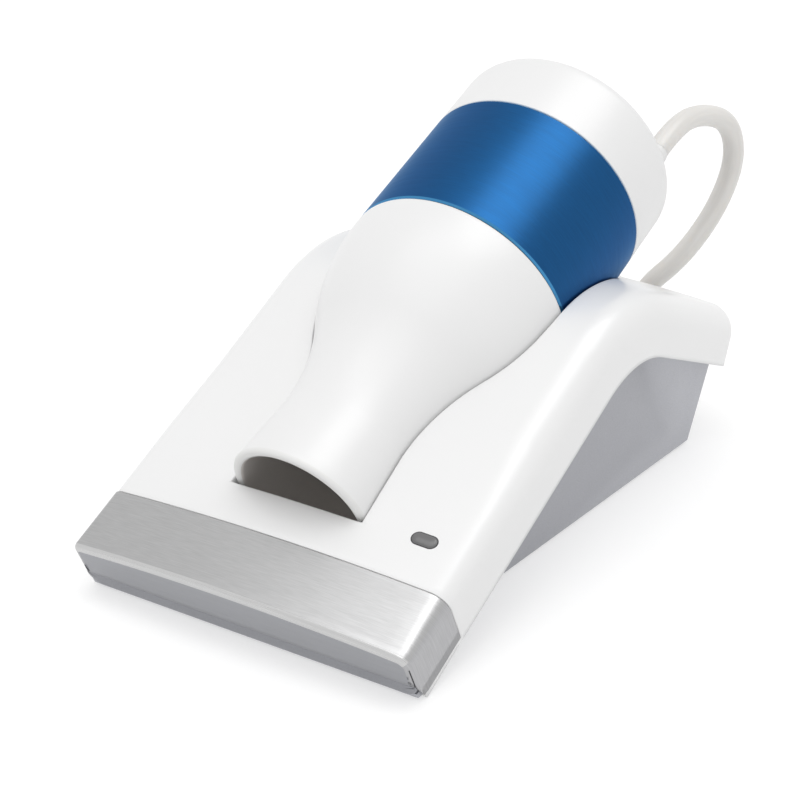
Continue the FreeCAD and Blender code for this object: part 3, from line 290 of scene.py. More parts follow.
class Shader:
    """One material with a Principled surface, built node by node."""

    def __init__(self, name: str, colour: Colour, roughness: float, metallic: float = 0.0) -> None:
        """Starts the material with its plain values."""
        self.material = bpy.data.materials.new(name)
        self.material.use_nodes = True
        self.tree = self.material.node_tree
        self.surface = self.tree.nodes["Principled BSDF"]
        self.put("Base Color", (*colour, 1.0))
        self.put("Roughness", roughness)
        self.put("Metallic", metallic)

    def put(self, socket: str, value: float | tuple) -> None:
        """Sets a constant on the surface's own socket."""
        self.surface.inputs[socket].default_value = value

    def node(self, kind: str, **settings: object) -> bpy.types.Node:
        """Adds a node and sets its options."""
        made = self.tree.nodes.new("ShaderNode" + kind)
        for key, value in settings.items():
            setattr(made, key, value)
        return made

    def feed(self, source: bpy.types.NodeSocket, socket: str) -> None:
        """Leads a result into one of the surface's sockets."""
        self.tree.links.new(source, self.surface.inputs[socket])

    def place(self, stretch: tuple, turn: float = 0.0, chart: bool = False) -> bpy.types.NodeSocket:
        """Object or chart coordinates, turned about X and stretched.

        Args:
            stretch: Factors on the three axes.
            turn: Angle about X, in degrees.
            chart: Reads the piece's own chart instead of its object coordinates.

        Returns:
            The vector socket.
        """
        mapping = self.node("Mapping", vector_type="POINT")
        mapping.inputs["Scale"].default_value = stretch
        turned = self.node("Mapping", vector_type="POINT")
        turned.inputs["Rotation"].default_value = (math.radians(turn), 0.0, 0.0)
        if chart:
            source = self.node("UVMap", uv_map="Chart").outputs["UV"]
        else:
            source = self.node("TexCoord").outputs["Object"]
        self.tree.links.new(source, turned.inputs["Vector"])
        self.tree.links.new(turned.outputs["Vector"], mapping.inputs["Vector"])
        return mapping.outputs["Vector"]

    def noise(self, size: float, stretch: tuple = (1.0, 1.0, 1.0), turn: float = 0.0, chart: bool = False,
              detail: float = 2.0) -> bpy.types.NodeSocket:
        """Noise with features of a size in millimetres.

        Args:
            size: Width of a feature.
            stretch: Factors on the three axes; a small one draws the pattern out along that axis.
            turn: Angle about X of the axes, in degrees.
            chart: Follows the surface's chart.
            detail: Octaves.

        Returns:
            The noise from 0 to 1.
        """
        made = self.node("TexNoise")
        made.inputs["Scale"].default_value = 1.0 / (size * MM)
        made.inputs["Detail"].default_value = detail
        self.tree.links.new(self.place(stretch, turn, chart), made.inputs["Vector"])
        return made.outputs["Fac"]

    def range(self, source: bpy.types.NodeSocket, low: float, high: float, start: float = 0.3,
              stop: float = 0.7) -> bpy.types.NodeSocket:
        """Maps a pattern to the values between low and high."""
        made = self.node("MapRange")
        self.tree.links.new(source, made.inputs["Value"])
        for socket, value in (("From Min", start), ("From Max", stop), ("To Min", low), ("To Max", high)):
            made.inputs[socket].default_value = value
        return made.outputs["Result"]

    def tint(self, source: bpy.types.NodeSocket, first: Colour, second: Colour, start: float = 0.3,
             stop: float = 0.7) -> bpy.types.NodeSocket:
        """Mixes two colours by a pattern."""
        made = self.node("Mix", data_type="RGBA")
        self.tree.links.new(self.range(source, 0.0, 1.0, start, stop), made.inputs["Factor"])
        made.inputs[6].default_value = (*first, 1.0)
        made.inputs[7].default_value = (*second, 1.0)
        return made.outputs[2]

    def relief(self, source: bpy.types.NodeSocket, height: float, strength: float = 1.0) -> None:
        """Bumps the surface by a pattern.

        Args:
            source: The pattern.
            height: Full height of the bumps, in millimetres.
            strength: How much of it shows.
        """
        made = self.node("Bump")
        made.inputs["Distance"].default_value = height * MM
        made.inputs["Strength"].default_value = strength
        self.tree.links.new(source, made.inputs["Height"])
        previous = self.surface.inputs["Normal"].links
        if previous:
            self.tree.links.new(previous[0].from_socket, made.inputs["Normal"])
        self.feed(made.outputs["Normal"], "Normal")


def shade(colour: Colour, factor: float) -> Colour:
    """A colour made darker or lighter."""
    return tuple(min(1.0, channel * factor) for channel in colour)


@dataclass(frozen=True)
class Finish:
    """A surface finish; each kind builds its own material."""

    name: str
    colour: Colour

    def build(self) -> bpy.types.Material:
        """Makes the material."""
        return Shader(self.name, self.colour, 0.5).material


@dataclass(frozen=True)
class Moulding(Finish):
    """Moulded plastic: fine spark-eroded grain, faint flow shades and a few handling marks.

    Attributes:
        roughness: Mean roughness.
        spread: How far the handling marks change it.
        grain: Width of the grain, in millimetres.
        depth: Height of the grain, in millimetres.
        mottle: Shade of the darker flow marks.
        coat: Weight of the clear gloss.
        coat_roughness: Its roughness.
        glow: Weight of the light that passes through the plastic.
        bleed: How far that light spreads, in metres.
        flow: Size of the flow shades, in millimetres.
        marks: Size of the handling marks, in millimetres.
    """

    roughness: float = 0.4
    spread: float = 0.05
    grain: float = 0.25
    depth: float = 0.004
    mottle: float = 0.97
    coat: float = 0.0
    coat_roughness: float = 0.12
    glow: float = 0.0
    bleed: Triple = (0.004, 0.0035, 0.003)
    flow: float = 26.0
    marks: float = 9.0

    def build(self) -> bpy.types.Material:
        """Makes the material."""
        made = Shader(self.name, self.colour, self.roughness)
        made.feed(made.tint(made.noise(self.flow, detail=3.0), shade(self.colour, self.mottle), self.colour),
                  "Base Color")
        made.feed(made.range(made.noise(self.marks, detail=4.0), self.roughness - self.spread,
                             self.roughness + self.spread), "Roughness")
        made.relief(made.noise(self.grain, detail=1.0), self.depth)
        made.put("Coat Weight", self.coat)
        made.put("Coat Roughness", self.coat_roughness)
        if self.glow:
            made.put("Subsurface Weight", self.glow)
            made.put("Subsurface Radius", self.bleed)
            made.put("Subsurface Scale", 1.0)
        return made.material


@dataclass(frozen=True)
class Metallic(Finish):
    """Silver-lacquered plastic: small flakes in a satin coat.

    Attributes:
        roughness: Mean roughness.
        metallic: Share of metal in the lacquer.
        flake: Width of a flake, in millimetres.
        depth: Height of the flakes, in millimetres.
    """

    roughness: float = 0.42
    metallic: float = 0.35
    flake: float = 0.22
    depth: float = 0.003

    def build(self) -> bpy.types.Material:
        """Makes the material."""
        made = Shader(self.name, self.colour, self.roughness, self.metallic)
        flakes = made.noise(self.flake, detail=1.0)
        made.feed(made.tint(flakes, shade(self.colour, 0.9), shade(self.colour, 1.08)), "Base Color")
        made.feed(made.range(made.noise(14.0), self.roughness - 0.04, self.roughness + 0.05), "Roughness")
        made.relief(flakes, self.depth)
        made.put("Coat Weight", 0.25)
        made.put("Coat Roughness", 0.3)
        return made.material


@dataclass(frozen=True)
class Brushed(Finish):
    """Brushed sheet metal: hairlines of two widths along one direction.

    Attributes:
        grain: Direction of the hairlines.
        roughness: Mean roughness.
        turn: Turn of the pattern about X, in degrees.
        contrast: How much the hairlines change the colour.
        depth: Their height, in millimetres.
        chart: They follow the piece's own chart.
        anisotropy: How much the gleam is drawn out across them.
        metallic: Share of metal.
        fine: Width of the fine hairlines, in millimetres; the broad ones are six times as wide.
        veil: Weight of a clear lacquer.
        rim: Tint of the surface seen at a low angle.
    """

    grain: Grain = Grain.ACROSS
    roughness: float = 0.34
    turn: float = -25.0
    contrast: float = 0.12
    depth: float = 0.004
    chart: bool = False
    anisotropy: float = 0.5
    metallic: float = 1.0
    fine: float = 0.13
    veil: float = 0.0
    rim: Colour = (1.0, 1.0, 1.0)

    def build(self) -> bpy.types.Material:
        """Makes the material."""
        made = Shader(self.name, self.colour, self.roughness, self.metallic)
        fine = made.noise(self.fine, self.grain.value, self.turn, self.chart, 2.0)
        broad = made.noise(6.0 * self.fine, self.grain.value, self.turn, self.chart, 3.0)
        made.feed(made.tint(fine, shade(self.colour, 1.0 - self.contrast), shade(self.colour, 1.0 + self.contrast)),
                  "Base Color")
        made.feed(made.range(broad, self.roughness - 0.03, self.roughness + 0.03), "Roughness")
        made.relief(fine, self.depth)
        made.put("Specular Tint", (*self.rim, 1.0))
        if self.veil:
            made.put("Coat Weight", self.veil)
            made.put("Coat Roughness", 0.35)
        if self.anisotropy and self.chart:
            made.put("Anisotropic", self.anisotropy)
            made.put("Anisotropic Rotation", 0.25)
            tangent = made.node("Tangent", direction_type="UV_MAP", uv_map="Chart")
            made.feed(tangent.outputs["Tangent"], "Tangent")
        return made.material


@dataclass(frozen=True)
class Rubber(Finish):
    """Soft rubber or silicone: dull skin with dust-fine grain, drawn out along a hose.

    Attributes:
        roughness: Mean roughness.
        chart: The streaks run along the piece's own chart.
        glow: Weight of the light that passes through the rubber.
        bleed: How far that light spreads, in metres.
        streak: Width of the streaks, in millimetres.
    """

    roughness: float = 0.55
    chart: bool = False
    glow: float = 0.0
    bleed: Triple = (0.003, 0.0027, 0.0023)
    streak: float = 1.6

    def build(self) -> bpy.types.Material:
        """Makes the material."""
        made = Shader(self.name, self.colour, self.roughness)
        stretch = (1.0, 0.08, 1.0) if self.chart else Grain.EVEN.value
        streaks = made.noise(self.streak, stretch, chart=self.chart, detail=3.0)
        made.feed(made.tint(streaks, shade(self.colour, 0.93), shade(self.colour, 1.03)), "Base Color")
        made.feed(made.range(streaks, self.roughness - 0.08, self.roughness + 0.08), "Roughness")
        made.relief(made.noise(0.3, detail=1.0), 0.004)
        if self.glow:
            made.put("Subsurface Weight", self.glow)
            made.put("Subsurface Radius", self.bleed)
            made.put("Subsurface Scale", 1.0)
        return made.material


@dataclass(frozen=True)
class Laminate(Finish):
    """Circuit board: lacquered fabric with copper tracks that show as lighter lines.

    Attributes:
        cells: Fields between the tracks, for each metre.
        track: Width of a track as a share of a field.
    """

    cells: float = 380.0
    track: float = 0.06

    def build(self) -> bpy.types.Material:
        """Makes the material."""
        made = Shader(self.name, self.colour, 0.3)
        cells = made.node("TexBrick")
        cells.inputs["Scale"].default_value = self.cells
        cells.inputs["Mortar Size"].default_value = self.track
        cells.inputs["Color1"].default_value = (*self.colour, 1.0)
        cells.inputs["Color2"].default_value = (*shade(self.colour, 0.85), 1.0)
        cells.inputs["Mortar"].default_value = (*shade(self.colour, 1.7), 1.0)
        made.tree.links.new(made.place((1.0, 1.0, 1.0)), cells.inputs["Vector"])
        made.feed(cells.outputs["Color"], "Base Color")
        made.relief(made.noise(0.5), 0.006)
        return made.material


FINISHES: dict[str, bpy.types.Material] = {}


def dress(finish: Finish) -> bpy.types.Material:
    """The material of a finish, made once."""
    if finish.name not in FINISHES:
        FINISHES[finish.name] = finish.build()
    return FINISHES[finish.name]


WHITE_SHELL = Moulding("white_shell", (0.84, 0.84, 0.84), roughness=0.32, spread=0.02, grain=0.35, depth=0.0008,
                       mottle=0.99, coat=0.2)
WHITE_HEAD = Moulding("white_head", (0.83, 0.83, 0.83), roughness=0.36, spread=0.03, grain=0.3, depth=0.0015,
                      mottle=0.985)
HEAD_BORE = Moulding("head_bore", (0.62, 0.59, 0.565), roughness=0.5, grain=0.3, depth=0.003)
MOUTH_LIP = Moulding("mouth_lip", (0.80, 0.80, 0.79), roughness=0.36, grain=0.3, depth=0.002)
GREY_TRAY = Metallic("grey_tray", (0.44, 0.446, 0.48))
# The front lip takes the tray's grey painted darker: painted shade under the plate's face.
GREY_LIP_PAINTED_SHADE = Metallic("grey_lip_painted_shade", (0.27, 0.275, 0.30))
PLATE_TOP = Brushed("plate_top", (0.43, 0.43, 0.432), Grain.ACROSS, 0.32, contrast=0.08, depth=0.0004, chart=True)
PLATE_SIDE = Brushed("plate_side", (0.43, 0.43, 0.44), Grain.ACROSS, 0.34, contrast=0.10, depth=0.0008, chart=True)
PLATE_FRONT = Brushed("plate_front", (0.345, 0.35, 0.37), Grain.ACROSS, 0.42, contrast=0.03, depth=0.0008,
                      chart=True, anisotropy=0.2, metallic=0.75)
# Lighter grey for the plate's fold and rear edge: a painted highlight.
PLATE_PAINTED_HIGHLIGHT = Brushed("plate_painted_highlight", (0.56, 0.56, 0.56), Grain.ACROSS, 0.28, contrast=0.04, depth=0.0008, chart=True)
SEAM = Moulding("seam", (0.035, 0.035, 0.038), roughness=0.7)
WINDOW = Moulding("grey_window", (0.125, 0.125, 0.127), roughness=0.32, grain=0.2, depth=0.0015, coat=0.3)
WINDOW_RIM = Moulding("window_rim", (0.12, 0.12, 0.122), roughness=0.35)
LAMP = Moulding("lamp", (0.75, 0.80, 0.70), roughness=0.25, glow=0.3)
BLUE = Brushed("blue_anodised", (0.002, 0.068, 0.20), Grain.ACROSS, 0.40, contrast=0.09, depth=0.0006, chart=True,
               anisotropy=0.4, fine=0.16, veil=0.25, rim=(0.35, 0.6, 0.9))
# Lighter blue for the sleeve's chamfers: a painted highlight.
BLUE_CHAMFER_PAINTED_HIGHLIGHT = Brushed("blue_chamfer_painted_highlight", (0.06, 0.24, 0.46), Grain.ACROSS, 0.25, contrast=0.05, depth=0.0008)
TURNED = Brushed("turned_aluminium", (0.70, 0.71, 0.72), Grain.EVEN, 0.3, contrast=0.05)
FOIL = Brushed("core_steel", (0.50, 0.50, 0.49), Grain.EVEN, 0.35, contrast=0.1)
SCREW = Brushed("screw_steel", (0.52, 0.52, 0.53), Grain.EVEN, 0.32, contrast=0.08)
SOCKET = Brushed("socket_steel", (0.60, 0.60, 0.61), Grain.ACROSS, 0.3, contrast=0.06)
ROLLED = Brushed("ballast_steel", (0.42, 0.42, 0.43), Grain.LENGTHWISE, 0.5, contrast=0.12)
SEAL = Rubber("seal_rubber", (0.03, 0.03, 0.03))
FOOT = Rubber("foot_rubber", (0.05, 0.05, 0.05), roughness=0.7)
HOSE = Rubber("hose_rubber", (0.74, 0.725, 0.70), roughness=0.38, chart=True, glow=0.25)
TUBE = Rubber("tube_rubber", (0.74, 0.725, 0.70), roughness=0.4)
PORT = Moulding("port_plastic", (0.78, 0.78, 0.775), roughness=0.35)
TIE = Moulding("tie_plastic", (0.70, 0.70, 0.70), roughness=0.45)
CHIP = Moulding("dark_plastic", (0.04, 0.04, 0.045), roughness=0.5)
BOARD = Laminate("board_green", (0.03, 0.17, 0.07))


# Studio

@dataclass(frozen=True)
class SoftBox:
    """A rectangular lamp that faces a point.

    Attributes:
        name: Its name.
        place: Where it hangs, in metres.
        aim: Point that it faces, in metres.
        size: Width and height, in metres.
        watts: Its power.
        gleam_only: It shows in glossy surfaces and lights nothing else.
    """

    name: str
    place: Triple
    aim: Triple
    size: tuple[float, float]
    watts: float
    gleam_only: bool = False

    def hang(self) -> bpy.types.Object:
        """Adds the lamp: its back points from the aim to its place, and its right is Z x back."""
        data = bpy.data.lights.new(self.name, "AREA")
        data.shape, data.energy = "RECTANGLE", self.watts
        data.size, data.size_y = self.size
        lamp = bpy.data.objects.new(self.name, data)
        bpy.context.scene.collection.objects.link(lamp)
        back = np.array(self.place) - np.array(self.aim)
        back /= np.linalg.norm(back)
        right = np.cross([0.0, 0.0, 1.0], back)
        right /= np.linalg.norm(right)
        up = np.cross(back, right)
        rows = [[right[i], up[i], back[i], self.place[i]] for i in range(3)]
        lamp.matrix_world = Matrix(rows + [[0.0, 0.0, 0.0, 1.0]])
        lamp.visible_diffuse = not self.gleam_only
        return lamp


@dataclass
class Studio:
    """Camera, lamps, world and floor.

    Attributes:
        eye: Camera's place, in millimetres.
        azimuth: Turn about Z from looking along +Y, in degrees.
        elevation: Height of the eye over the horizon, in degrees.
        roll: Turn about the line of sight, in degrees.
        lens: Focal length, in millimetres.
        sensor: Width of the sensor, in millimetres.
        world_level: Light of the even surroundings.
        paper: Grey of the floor that lights the object.
        paper_seen: Grey of the floor that the camera sees, before its glow.
        paper_glow: Glow of that floor, which keeps its shadows pale.
        paper_half: Half of the floor's width, in millimetres.
        sky_energy: Strength of the broad light from above.
        sky_spread: Its spread, in degrees.
        sky_tilt: Its tilt about X and Y, in degrees.
        boxes: The soft boxes.
    """

    eye: Triple = (231.47, -376.67, 239.5)
    azimuth: float = 32.54
    elevation: float = 25.51
    roll: float = 0.08
    lens: float = 90.0
    sensor: float = 36.0
    world_level: float = 0.52
    paper: float = 0.80
    paper_seen: float = 0.58
    paper_glow: float = 0.50
    paper_half: float = 3000.0
    sky_energy: float = 0.72
    sky_spread: float = 60.0
    sky_tilt: tuple[float, float] = (14.0, 8.0)
    boxes: tuple[SoftBox, ...] = (
        SoftBox("gleam_softbox", (0.33, 0.40, 1.00), (0.0, 0.02, 0.05), (0.65, 0.65), 3.9, gleam_only=True),
        SoftBox("top_softbox", (-0.15, -0.10, 1.10), (0.0, -0.05, 0.03), (0.35, 0.8), 0.9),
    )

    def camera(self) -> bpy.types.Object:
        """Places the camera from its sight line.

        The line of sight is (-sin a cos e, cos a cos e, -sin e); right is (cos a, sin a, 0), and up
        is right x sight, both turned by the roll.
        """
        a, e, r = (math.radians(v) for v in (self.azimuth, self.elevation, self.roll))
        sight = np.array([-math.sin(a) * math.cos(e), math.cos(a) * math.cos(e), -math.sin(e)])
        right = np.array([math.cos(a), math.sin(a), 0.0])
        up = np.cross(right, sight)
        right, up = right * math.cos(r) + up * math.sin(r), up * math.cos(r) - right * math.sin(r)
        data = bpy.data.cameras.new("studio_camera")
        data.lens, data.sensor_width = self.lens, self.sensor
        data.clip_start, data.clip_end = 0.01, 20.0
        camera = bpy.data.objects.new("studio_camera", data)
        bpy.context.scene.collection.objects.link(camera)
        rows = [[right[i], up[i], -sight[i], self.eye[i] * MM] for i in range(3)]
        camera.matrix_world = Matrix(rows + [[0.0, 0.0, 0.0, 1.0]])
        bpy.context.scene.camera = camera
        return camera

    def two_greys(self, tree: bpy.types.NodeTree, plain: float, seen: float) -> bpy.types.NodeSocket:
        """A grey that camera, mirror and glass rays read as another one.

        Args:
            tree: Where its nodes go.
            plain: The grey that lights the object.
            seen: The grey that is seen.

        Returns:
            The colour socket.
        """
        paths = tree.nodes.new("ShaderNodeLightPath")
        most = None
        for ray in ("Is Camera Ray", "Is Glossy Ray", "Is Transmission Ray"):
            step = tree.nodes.new("ShaderNodeMath")
            step.operation = "MAXIMUM"
            tree.links.new(paths.outputs[ray], step.inputs[0])
            if most:
                tree.links.new(most.outputs["Value"], step.inputs[1])
            most = step
        mix = tree.nodes.new("ShaderNodeMix")
        mix.data_type = "RGBA"
        tree.links.new(most.outputs["Value"], mix.inputs["Factor"])
        for socket, grey in ((6, plain), (7, seen)):
            mix.inputs[socket].default_value = (grey, grey, grey, 1.0)
        return mix.outputs[2]

    def world(self) -> None:
        """Even pale surroundings that the camera sees as white."""
        world = bpy.data.worlds.new("studio_world")
        world.use_nodes = True
        bpy.context.scene.world = world
        tree = world.node_tree
        tree.links.new(self.two_greys(tree, self.world_level, 1.0), tree.nodes["Background"].inputs["Color"])
        tree.nodes["Background"].inputs["Strength"].default_value = 1.0

    def floor(self) -> None:
        """A plain pale floor that keeps the object's shadow."""
        reach = self.paper_half * MM
        mesh = bpy.data.meshes.new("studio_floor")
        mesh.from_pydata([(-reach, -reach, 0.0), (reach, -reach, 0.0), (-reach, reach, 0.0), (reach, reach, 0.0)],
                         [], [(0, 1, 3, 2)])
        floor = bpy.data.objects.new("studio_floor", mesh)
        bpy.context.scene.collection.objects.link(floor)
        material = bpy.data.materials.new("studio_paper")
        material.use_nodes = True
        tree = material.node_tree
        surface = tree.nodes["Principled BSDF"]
        surface.inputs["Roughness"].default_value = 0.9
        surface.inputs["Specular IOR Level"].default_value = 0.0
        tree.links.new(self.two_greys(tree, self.paper, self.paper_seen), surface.inputs["Base Color"])
        tree.links.new(self.two_greys(tree, 0.0, self.paper_glow), surface.inputs["Emission Color"])
        surface.inputs["Emission Strength"].default_value = 1.0
        mesh.materials.append(material)

    def sky(self) -> None:
        """Broad light from above and a little from the front."""
        sun = bpy.data.lights.new("studio_sky", "SUN")
        sun.energy, sun.angle = self.sky_energy, math.radians(self.sky_spread)
        sky = bpy.data.objects.new("studio_sky", sun)
        bpy.context.scene.collection.objects.link(sky)
        sky.rotation_euler = (*map(math.radians, self.sky_tilt), 0.0)

    def build(self) -> None:
        """Sets up the whole studio."""
        self.camera()
        self.world()
        self.floor()
        self.sky()
        for box in self.boxes:
            box.hang()
        bpy.context.scene.view_settings.view_transform = "Standard"
        LOG.info("studio: camera at %s mm", self.eye)


# Lines that the parts share

@dataclass(frozen=True)
class HeadAxis:
    """The flowhead's own frame: x to the right, u up from its axis, s along it from the sleeve's rim.

    Attributes:
        forward: y of the frame's origin.
        height: z of the frame's origin.
        angle: Rise of the axis, in radians.
        mouth: Outside radius at the mouth.
        neck: Outside radius of the neck.
        wide: Outside radius of the sleeve.
        length: Length of the cone.
        bore_depth: Length of the straight mouthpiece bore.
        flare_end: Length of the cylinder between the flare and the sleeve.
        face: Station of the mouth's face on the axis.
        slant: How far the face leans forward for each millimetre of height.
    """

    forward: float = 11.4
    height: float = 52.3
    angle: float = math.radians(21.7)
    mouth: float = 17.5
    neck: float = 16.6
    wide: float = 30.0
    length: float = 74.0
    bore_depth: float = 20.0
    flare_end: float = 2.0
    face: float = -72.5
    slant: float = 0.10

    @property
    def flare_start(self) -> float:
        """Station at which the neck ends and the flare starts."""
        return -(self.length - self.bore_depth)

    def place(self, x: Array, u: Array, s: Array) -> Array:
        """Points of the frame as (x, y, z): y = f + s cos - u sin, z = h + s sin + u cos."""
        x, u, s = np.broadcast_arrays(np.asarray(x, float), u, s)
        c, d = math.cos(self.angle), math.sin(self.angle)
        return np.stack([x, self.forward + s * c - u * d, self.height + s * d + u * c], axis=-1)

    def read(self, points: Array) -> tuple[Array, Array]:
        """The u and s of points given as (x, y, z)."""
        c, d = math.cos(self.angle), math.sin(self.angle)
        y, z = points[..., 1] - self.forward, points[..., 2] - self.height
        return z * c - y * d, y * c + z * d

    def flare(self, s: Array, narrow: float, wide: float) -> Array:
        """Radius of an S-shaped flare: two equal arcs, tangent to the axis at both ends.

        With half run a and half rise b the arcs' radius is R = (a^2 + b^2) / 2b; the first arc is
        narrow + R - sqrt(R^2 - t^2), t from the start, and the second mirrors it from the end.
        """
        start, stop = self.flare_start, -self.flare_end
        run, rise = (stop - start) / 2.0, (wide - narrow) / 2.0
        radius = (run * run + rise * rise) / (2.0 * rise)
        low, high = np.clip(s - start, 0.0, run), np.clip(stop - s, 0.0, run)
        first = narrow + radius - np.sqrt(radius ** 2 - low ** 2)
        second = wide - radius + np.sqrt(radius ** 2 - high ** 2)
        return np.where(s < (start + stop) / 2.0, first, second)

    def mouth_face(self, u: Array) -> Array:
        """Where the slanted face of the mouth lies at height u: s = face - slant * u."""
        return self.face - self.slant * np.asarray(u, float)

    def outside(self, s: Array) -> Array:
        """Outside radius of the cone and the sleeve at s."""
        taper = np.interp(s, [-self.length, self.flare_start], [self.mouth, self.neck])
        return np.where(s < self.flare_start, taper, self.flare(s, self.neck, self.wide))

    def turned(self, outline: Array) -> Array:
        """Carries an outline (radius, s) round the axis: x = r cos a, u = r sin a."""
        angle = np.arange(TURN_STEPS) / TURN_STEPS * 2.0 * math.pi
        radius, s = outline[:, :1], outline[:, 1:]
        return self.place(radius * np.cos(angle), radius * np.sin(angle), s + 0.0 * angle)


AXIS = HeadAxis()


@dataclass(frozen=True)
class Band:
    """Line and section of the cradle's bent band, in millimetres and radians.

    Attributes:
        front_offset: How far the band's front end lies in front of the origin.
        sole_drop: How far its underside lies under the table's plane there.
        ramp_angle: Rise of the ramp.
        rear_angle: Fall of the rear slope.
        ramp_run: Length of the ramp, up to the corner of the two slopes.
        rear_run: Length of the rear slope, from that corner.
        crest_radius: Outer radius of the crest.
        depth: Thickness of the band at its shoulders' level.
        half: Half of its width.
        rise: How much higher the middle of the top lies.
        crown: Fall of the crowned top from its middle to its side.
        shoulder_at: Stations of the shoulder's rounding.
        shoulder_radii: The rounding there.
    """

    front_offset: float = 75.9
    sole_drop: float = 0.6
    ramp_angle: float = math.radians(25.0)
    rear_angle: float = math.radians(24.0)
    ramp_run: float = 106.2
    rear_run: float = 63.2
    crest_radius: float = 50.0
    depth: float = 16.6
    half: float = 45.4
    rise: float = 0.6
    crown: float = 2.2
    shoulder_at: tuple[float, ...] = (0.0, 17.5, 40.0, 62.0)
    shoulder_radii: tuple[float, ...] = (3.4, 4.8, 5.5, 8.0)

    @property
    def bend(self) -> float:
        """Radius of the crest on the underside."""
        return self.crest_radius - self.depth

    @property
    def ramp_end(self) -> float:
        """Station at which the crest starts."""
        return self.ramp_run - self.bend * math.tan((self.ramp_angle + self.rear_angle) / 2.0)

    @property
    def crest_end(self) -> float:
        """Station at which the rear slope starts."""
        return self.ramp_end + self.bend * (self.ramp_angle + self.rear_angle)

    @property
    def length(self) -> float:
        """Station of the rear end."""
        return self.crest_end + self.rear_run - (self.ramp_run - self.ramp_end)

    def place(self, v: Array, x: Array, n: Array) -> Array:
        """Points at station v along the underside, x across and n over it.

        The underside rises at the ramp's angle, turns round the crest on an arc, and falls at the
        rear angle.  The point is foot(v) + n * normal(v), where the normal leans with the slope.
        """
        v, x, n = np.broadcast_arrays(np.asarray(v, float), x, n)
        lean = self.ramp_angle - np.clip((v - self.ramp_end) / self.bend, 0.0, self.ramp_angle + self.rear_angle)
        c, s = math.cos(self.ramp_angle), math.sin(self.ramp_angle)
        centre_y = self.ramp_end * c + self.bend * s
        centre_z = self.ramp_end * s - self.bend * c
        past = np.maximum(v - self.crest_end, 0.0)
        before = np.minimum(v - self.ramp_end, 0.0)
        reach = self.bend + n
        y = centre_y - reach * np.sin(lean) + before * c + past * math.cos(self.rear_angle)
        z = centre_z + reach * np.cos(lean) + before * s - past * math.sin(self.rear_angle)
        return np.stack([x, y - self.front_offset, z - self.sole_drop], axis=-1)

    def top(self, x: Array) -> Array:
        """Height of the crowned top at x: depth + rise - crown * (x / half)^2."""
        return self.depth + self.rise - self.crown * (np.asarray(x, float) / self.half) ** 2

    def shoulder(self, v: Array) -> Array:
        """Rounding of the long edges, which grows from the front up the ramp."""
        return np.interp(v, self.shoulder_at, self.shoulder_radii)


BAND = Band()


@dataclass
class Section:
    """Half of the band's outline at every station: crowned top, shoulder arc, upright side.

    Attributes:
        v: Stations, (rows,).
        radius: Shoulder radius at each.
        inset: How far the outline is drawn in, at each.
    """

    v: Array
    radius: Array
    inset: Array

    def joints(self) -> tuple[Array, Array, Array]:
        """Where the shoulder arc leaves the top: its angle, and the arc's centre height and x.

        The arc of radius r touches the side at x = half - inset, so its centre is r further in; it
        leaves the top where the top's slope 2 k x equals the tangent of the arc's angle.  Three
        rounds of substitution settle the angle.
        """
        side = BAND.half - self.inset
        slope = 2.0 * BAND.crown / BAND.half ** 2
        angle = np.full_like(self.v, 0.05)
        for _ in range(3):
            angle = np.arctan(slope * (side - self.radius + self.radius * np.sin(angle)))
        start = side - self.radius + self.radius * np.sin(angle)
        centre = BAND.top(start) - self.inset - self.radius * np.cos(angle)
        return angle, centre, side - self.radius

    def columns(self, inner: Array, top_steps: int, arc_steps: int, low: Array,
                side_steps: int = 4) -> tuple[Array, Array]:
        """Outline points from an inner x over the shoulder and down the side to low.

        Args:
            inner: Where each row's top starts, (rows,).
            top_steps: Steps across the top.
            arc_steps: Steps round the shoulder.
            low: Height at which each row ends, (rows,).
            side_steps: Steps down the side.

        Returns:
            x and n, each (rows, columns).
        """
        angle, centre, middle = self.joints()
        start = middle + self.radius * np.sin(angle)
        share = np.linspace(0.0, 1.0, top_steps + 1)[None, :]
        x_top = inner[:, None] + (start - inner)[:, None] * share
        n_top = BAND.top(x_top) - self.inset[:, None]
        turn = angle[:, None] + (math.pi / 2.0 - angle[:, None]) * np.linspace(0.0, 1.0, arc_steps + 1)[None, 1:]
        x_arc = middle[:, None] + self.radius[:, None] * np.sin(turn)
        n_arc = centre[:, None] + self.radius[:, None] * np.cos(turn)
        fall = np.linspace(0.0, 1.0, side_steps + 1)[None, 1:]
        n_side = centre[:, None] + (low - centre)[:, None] * fall
        x_side = np.repeat((BAND.half - self.inset)[:, None], side_steps, axis=1)
        return np.hstack([x_top, x_arc, x_side]), np.hstack([n_top, n_arc, n_side])


# Hose

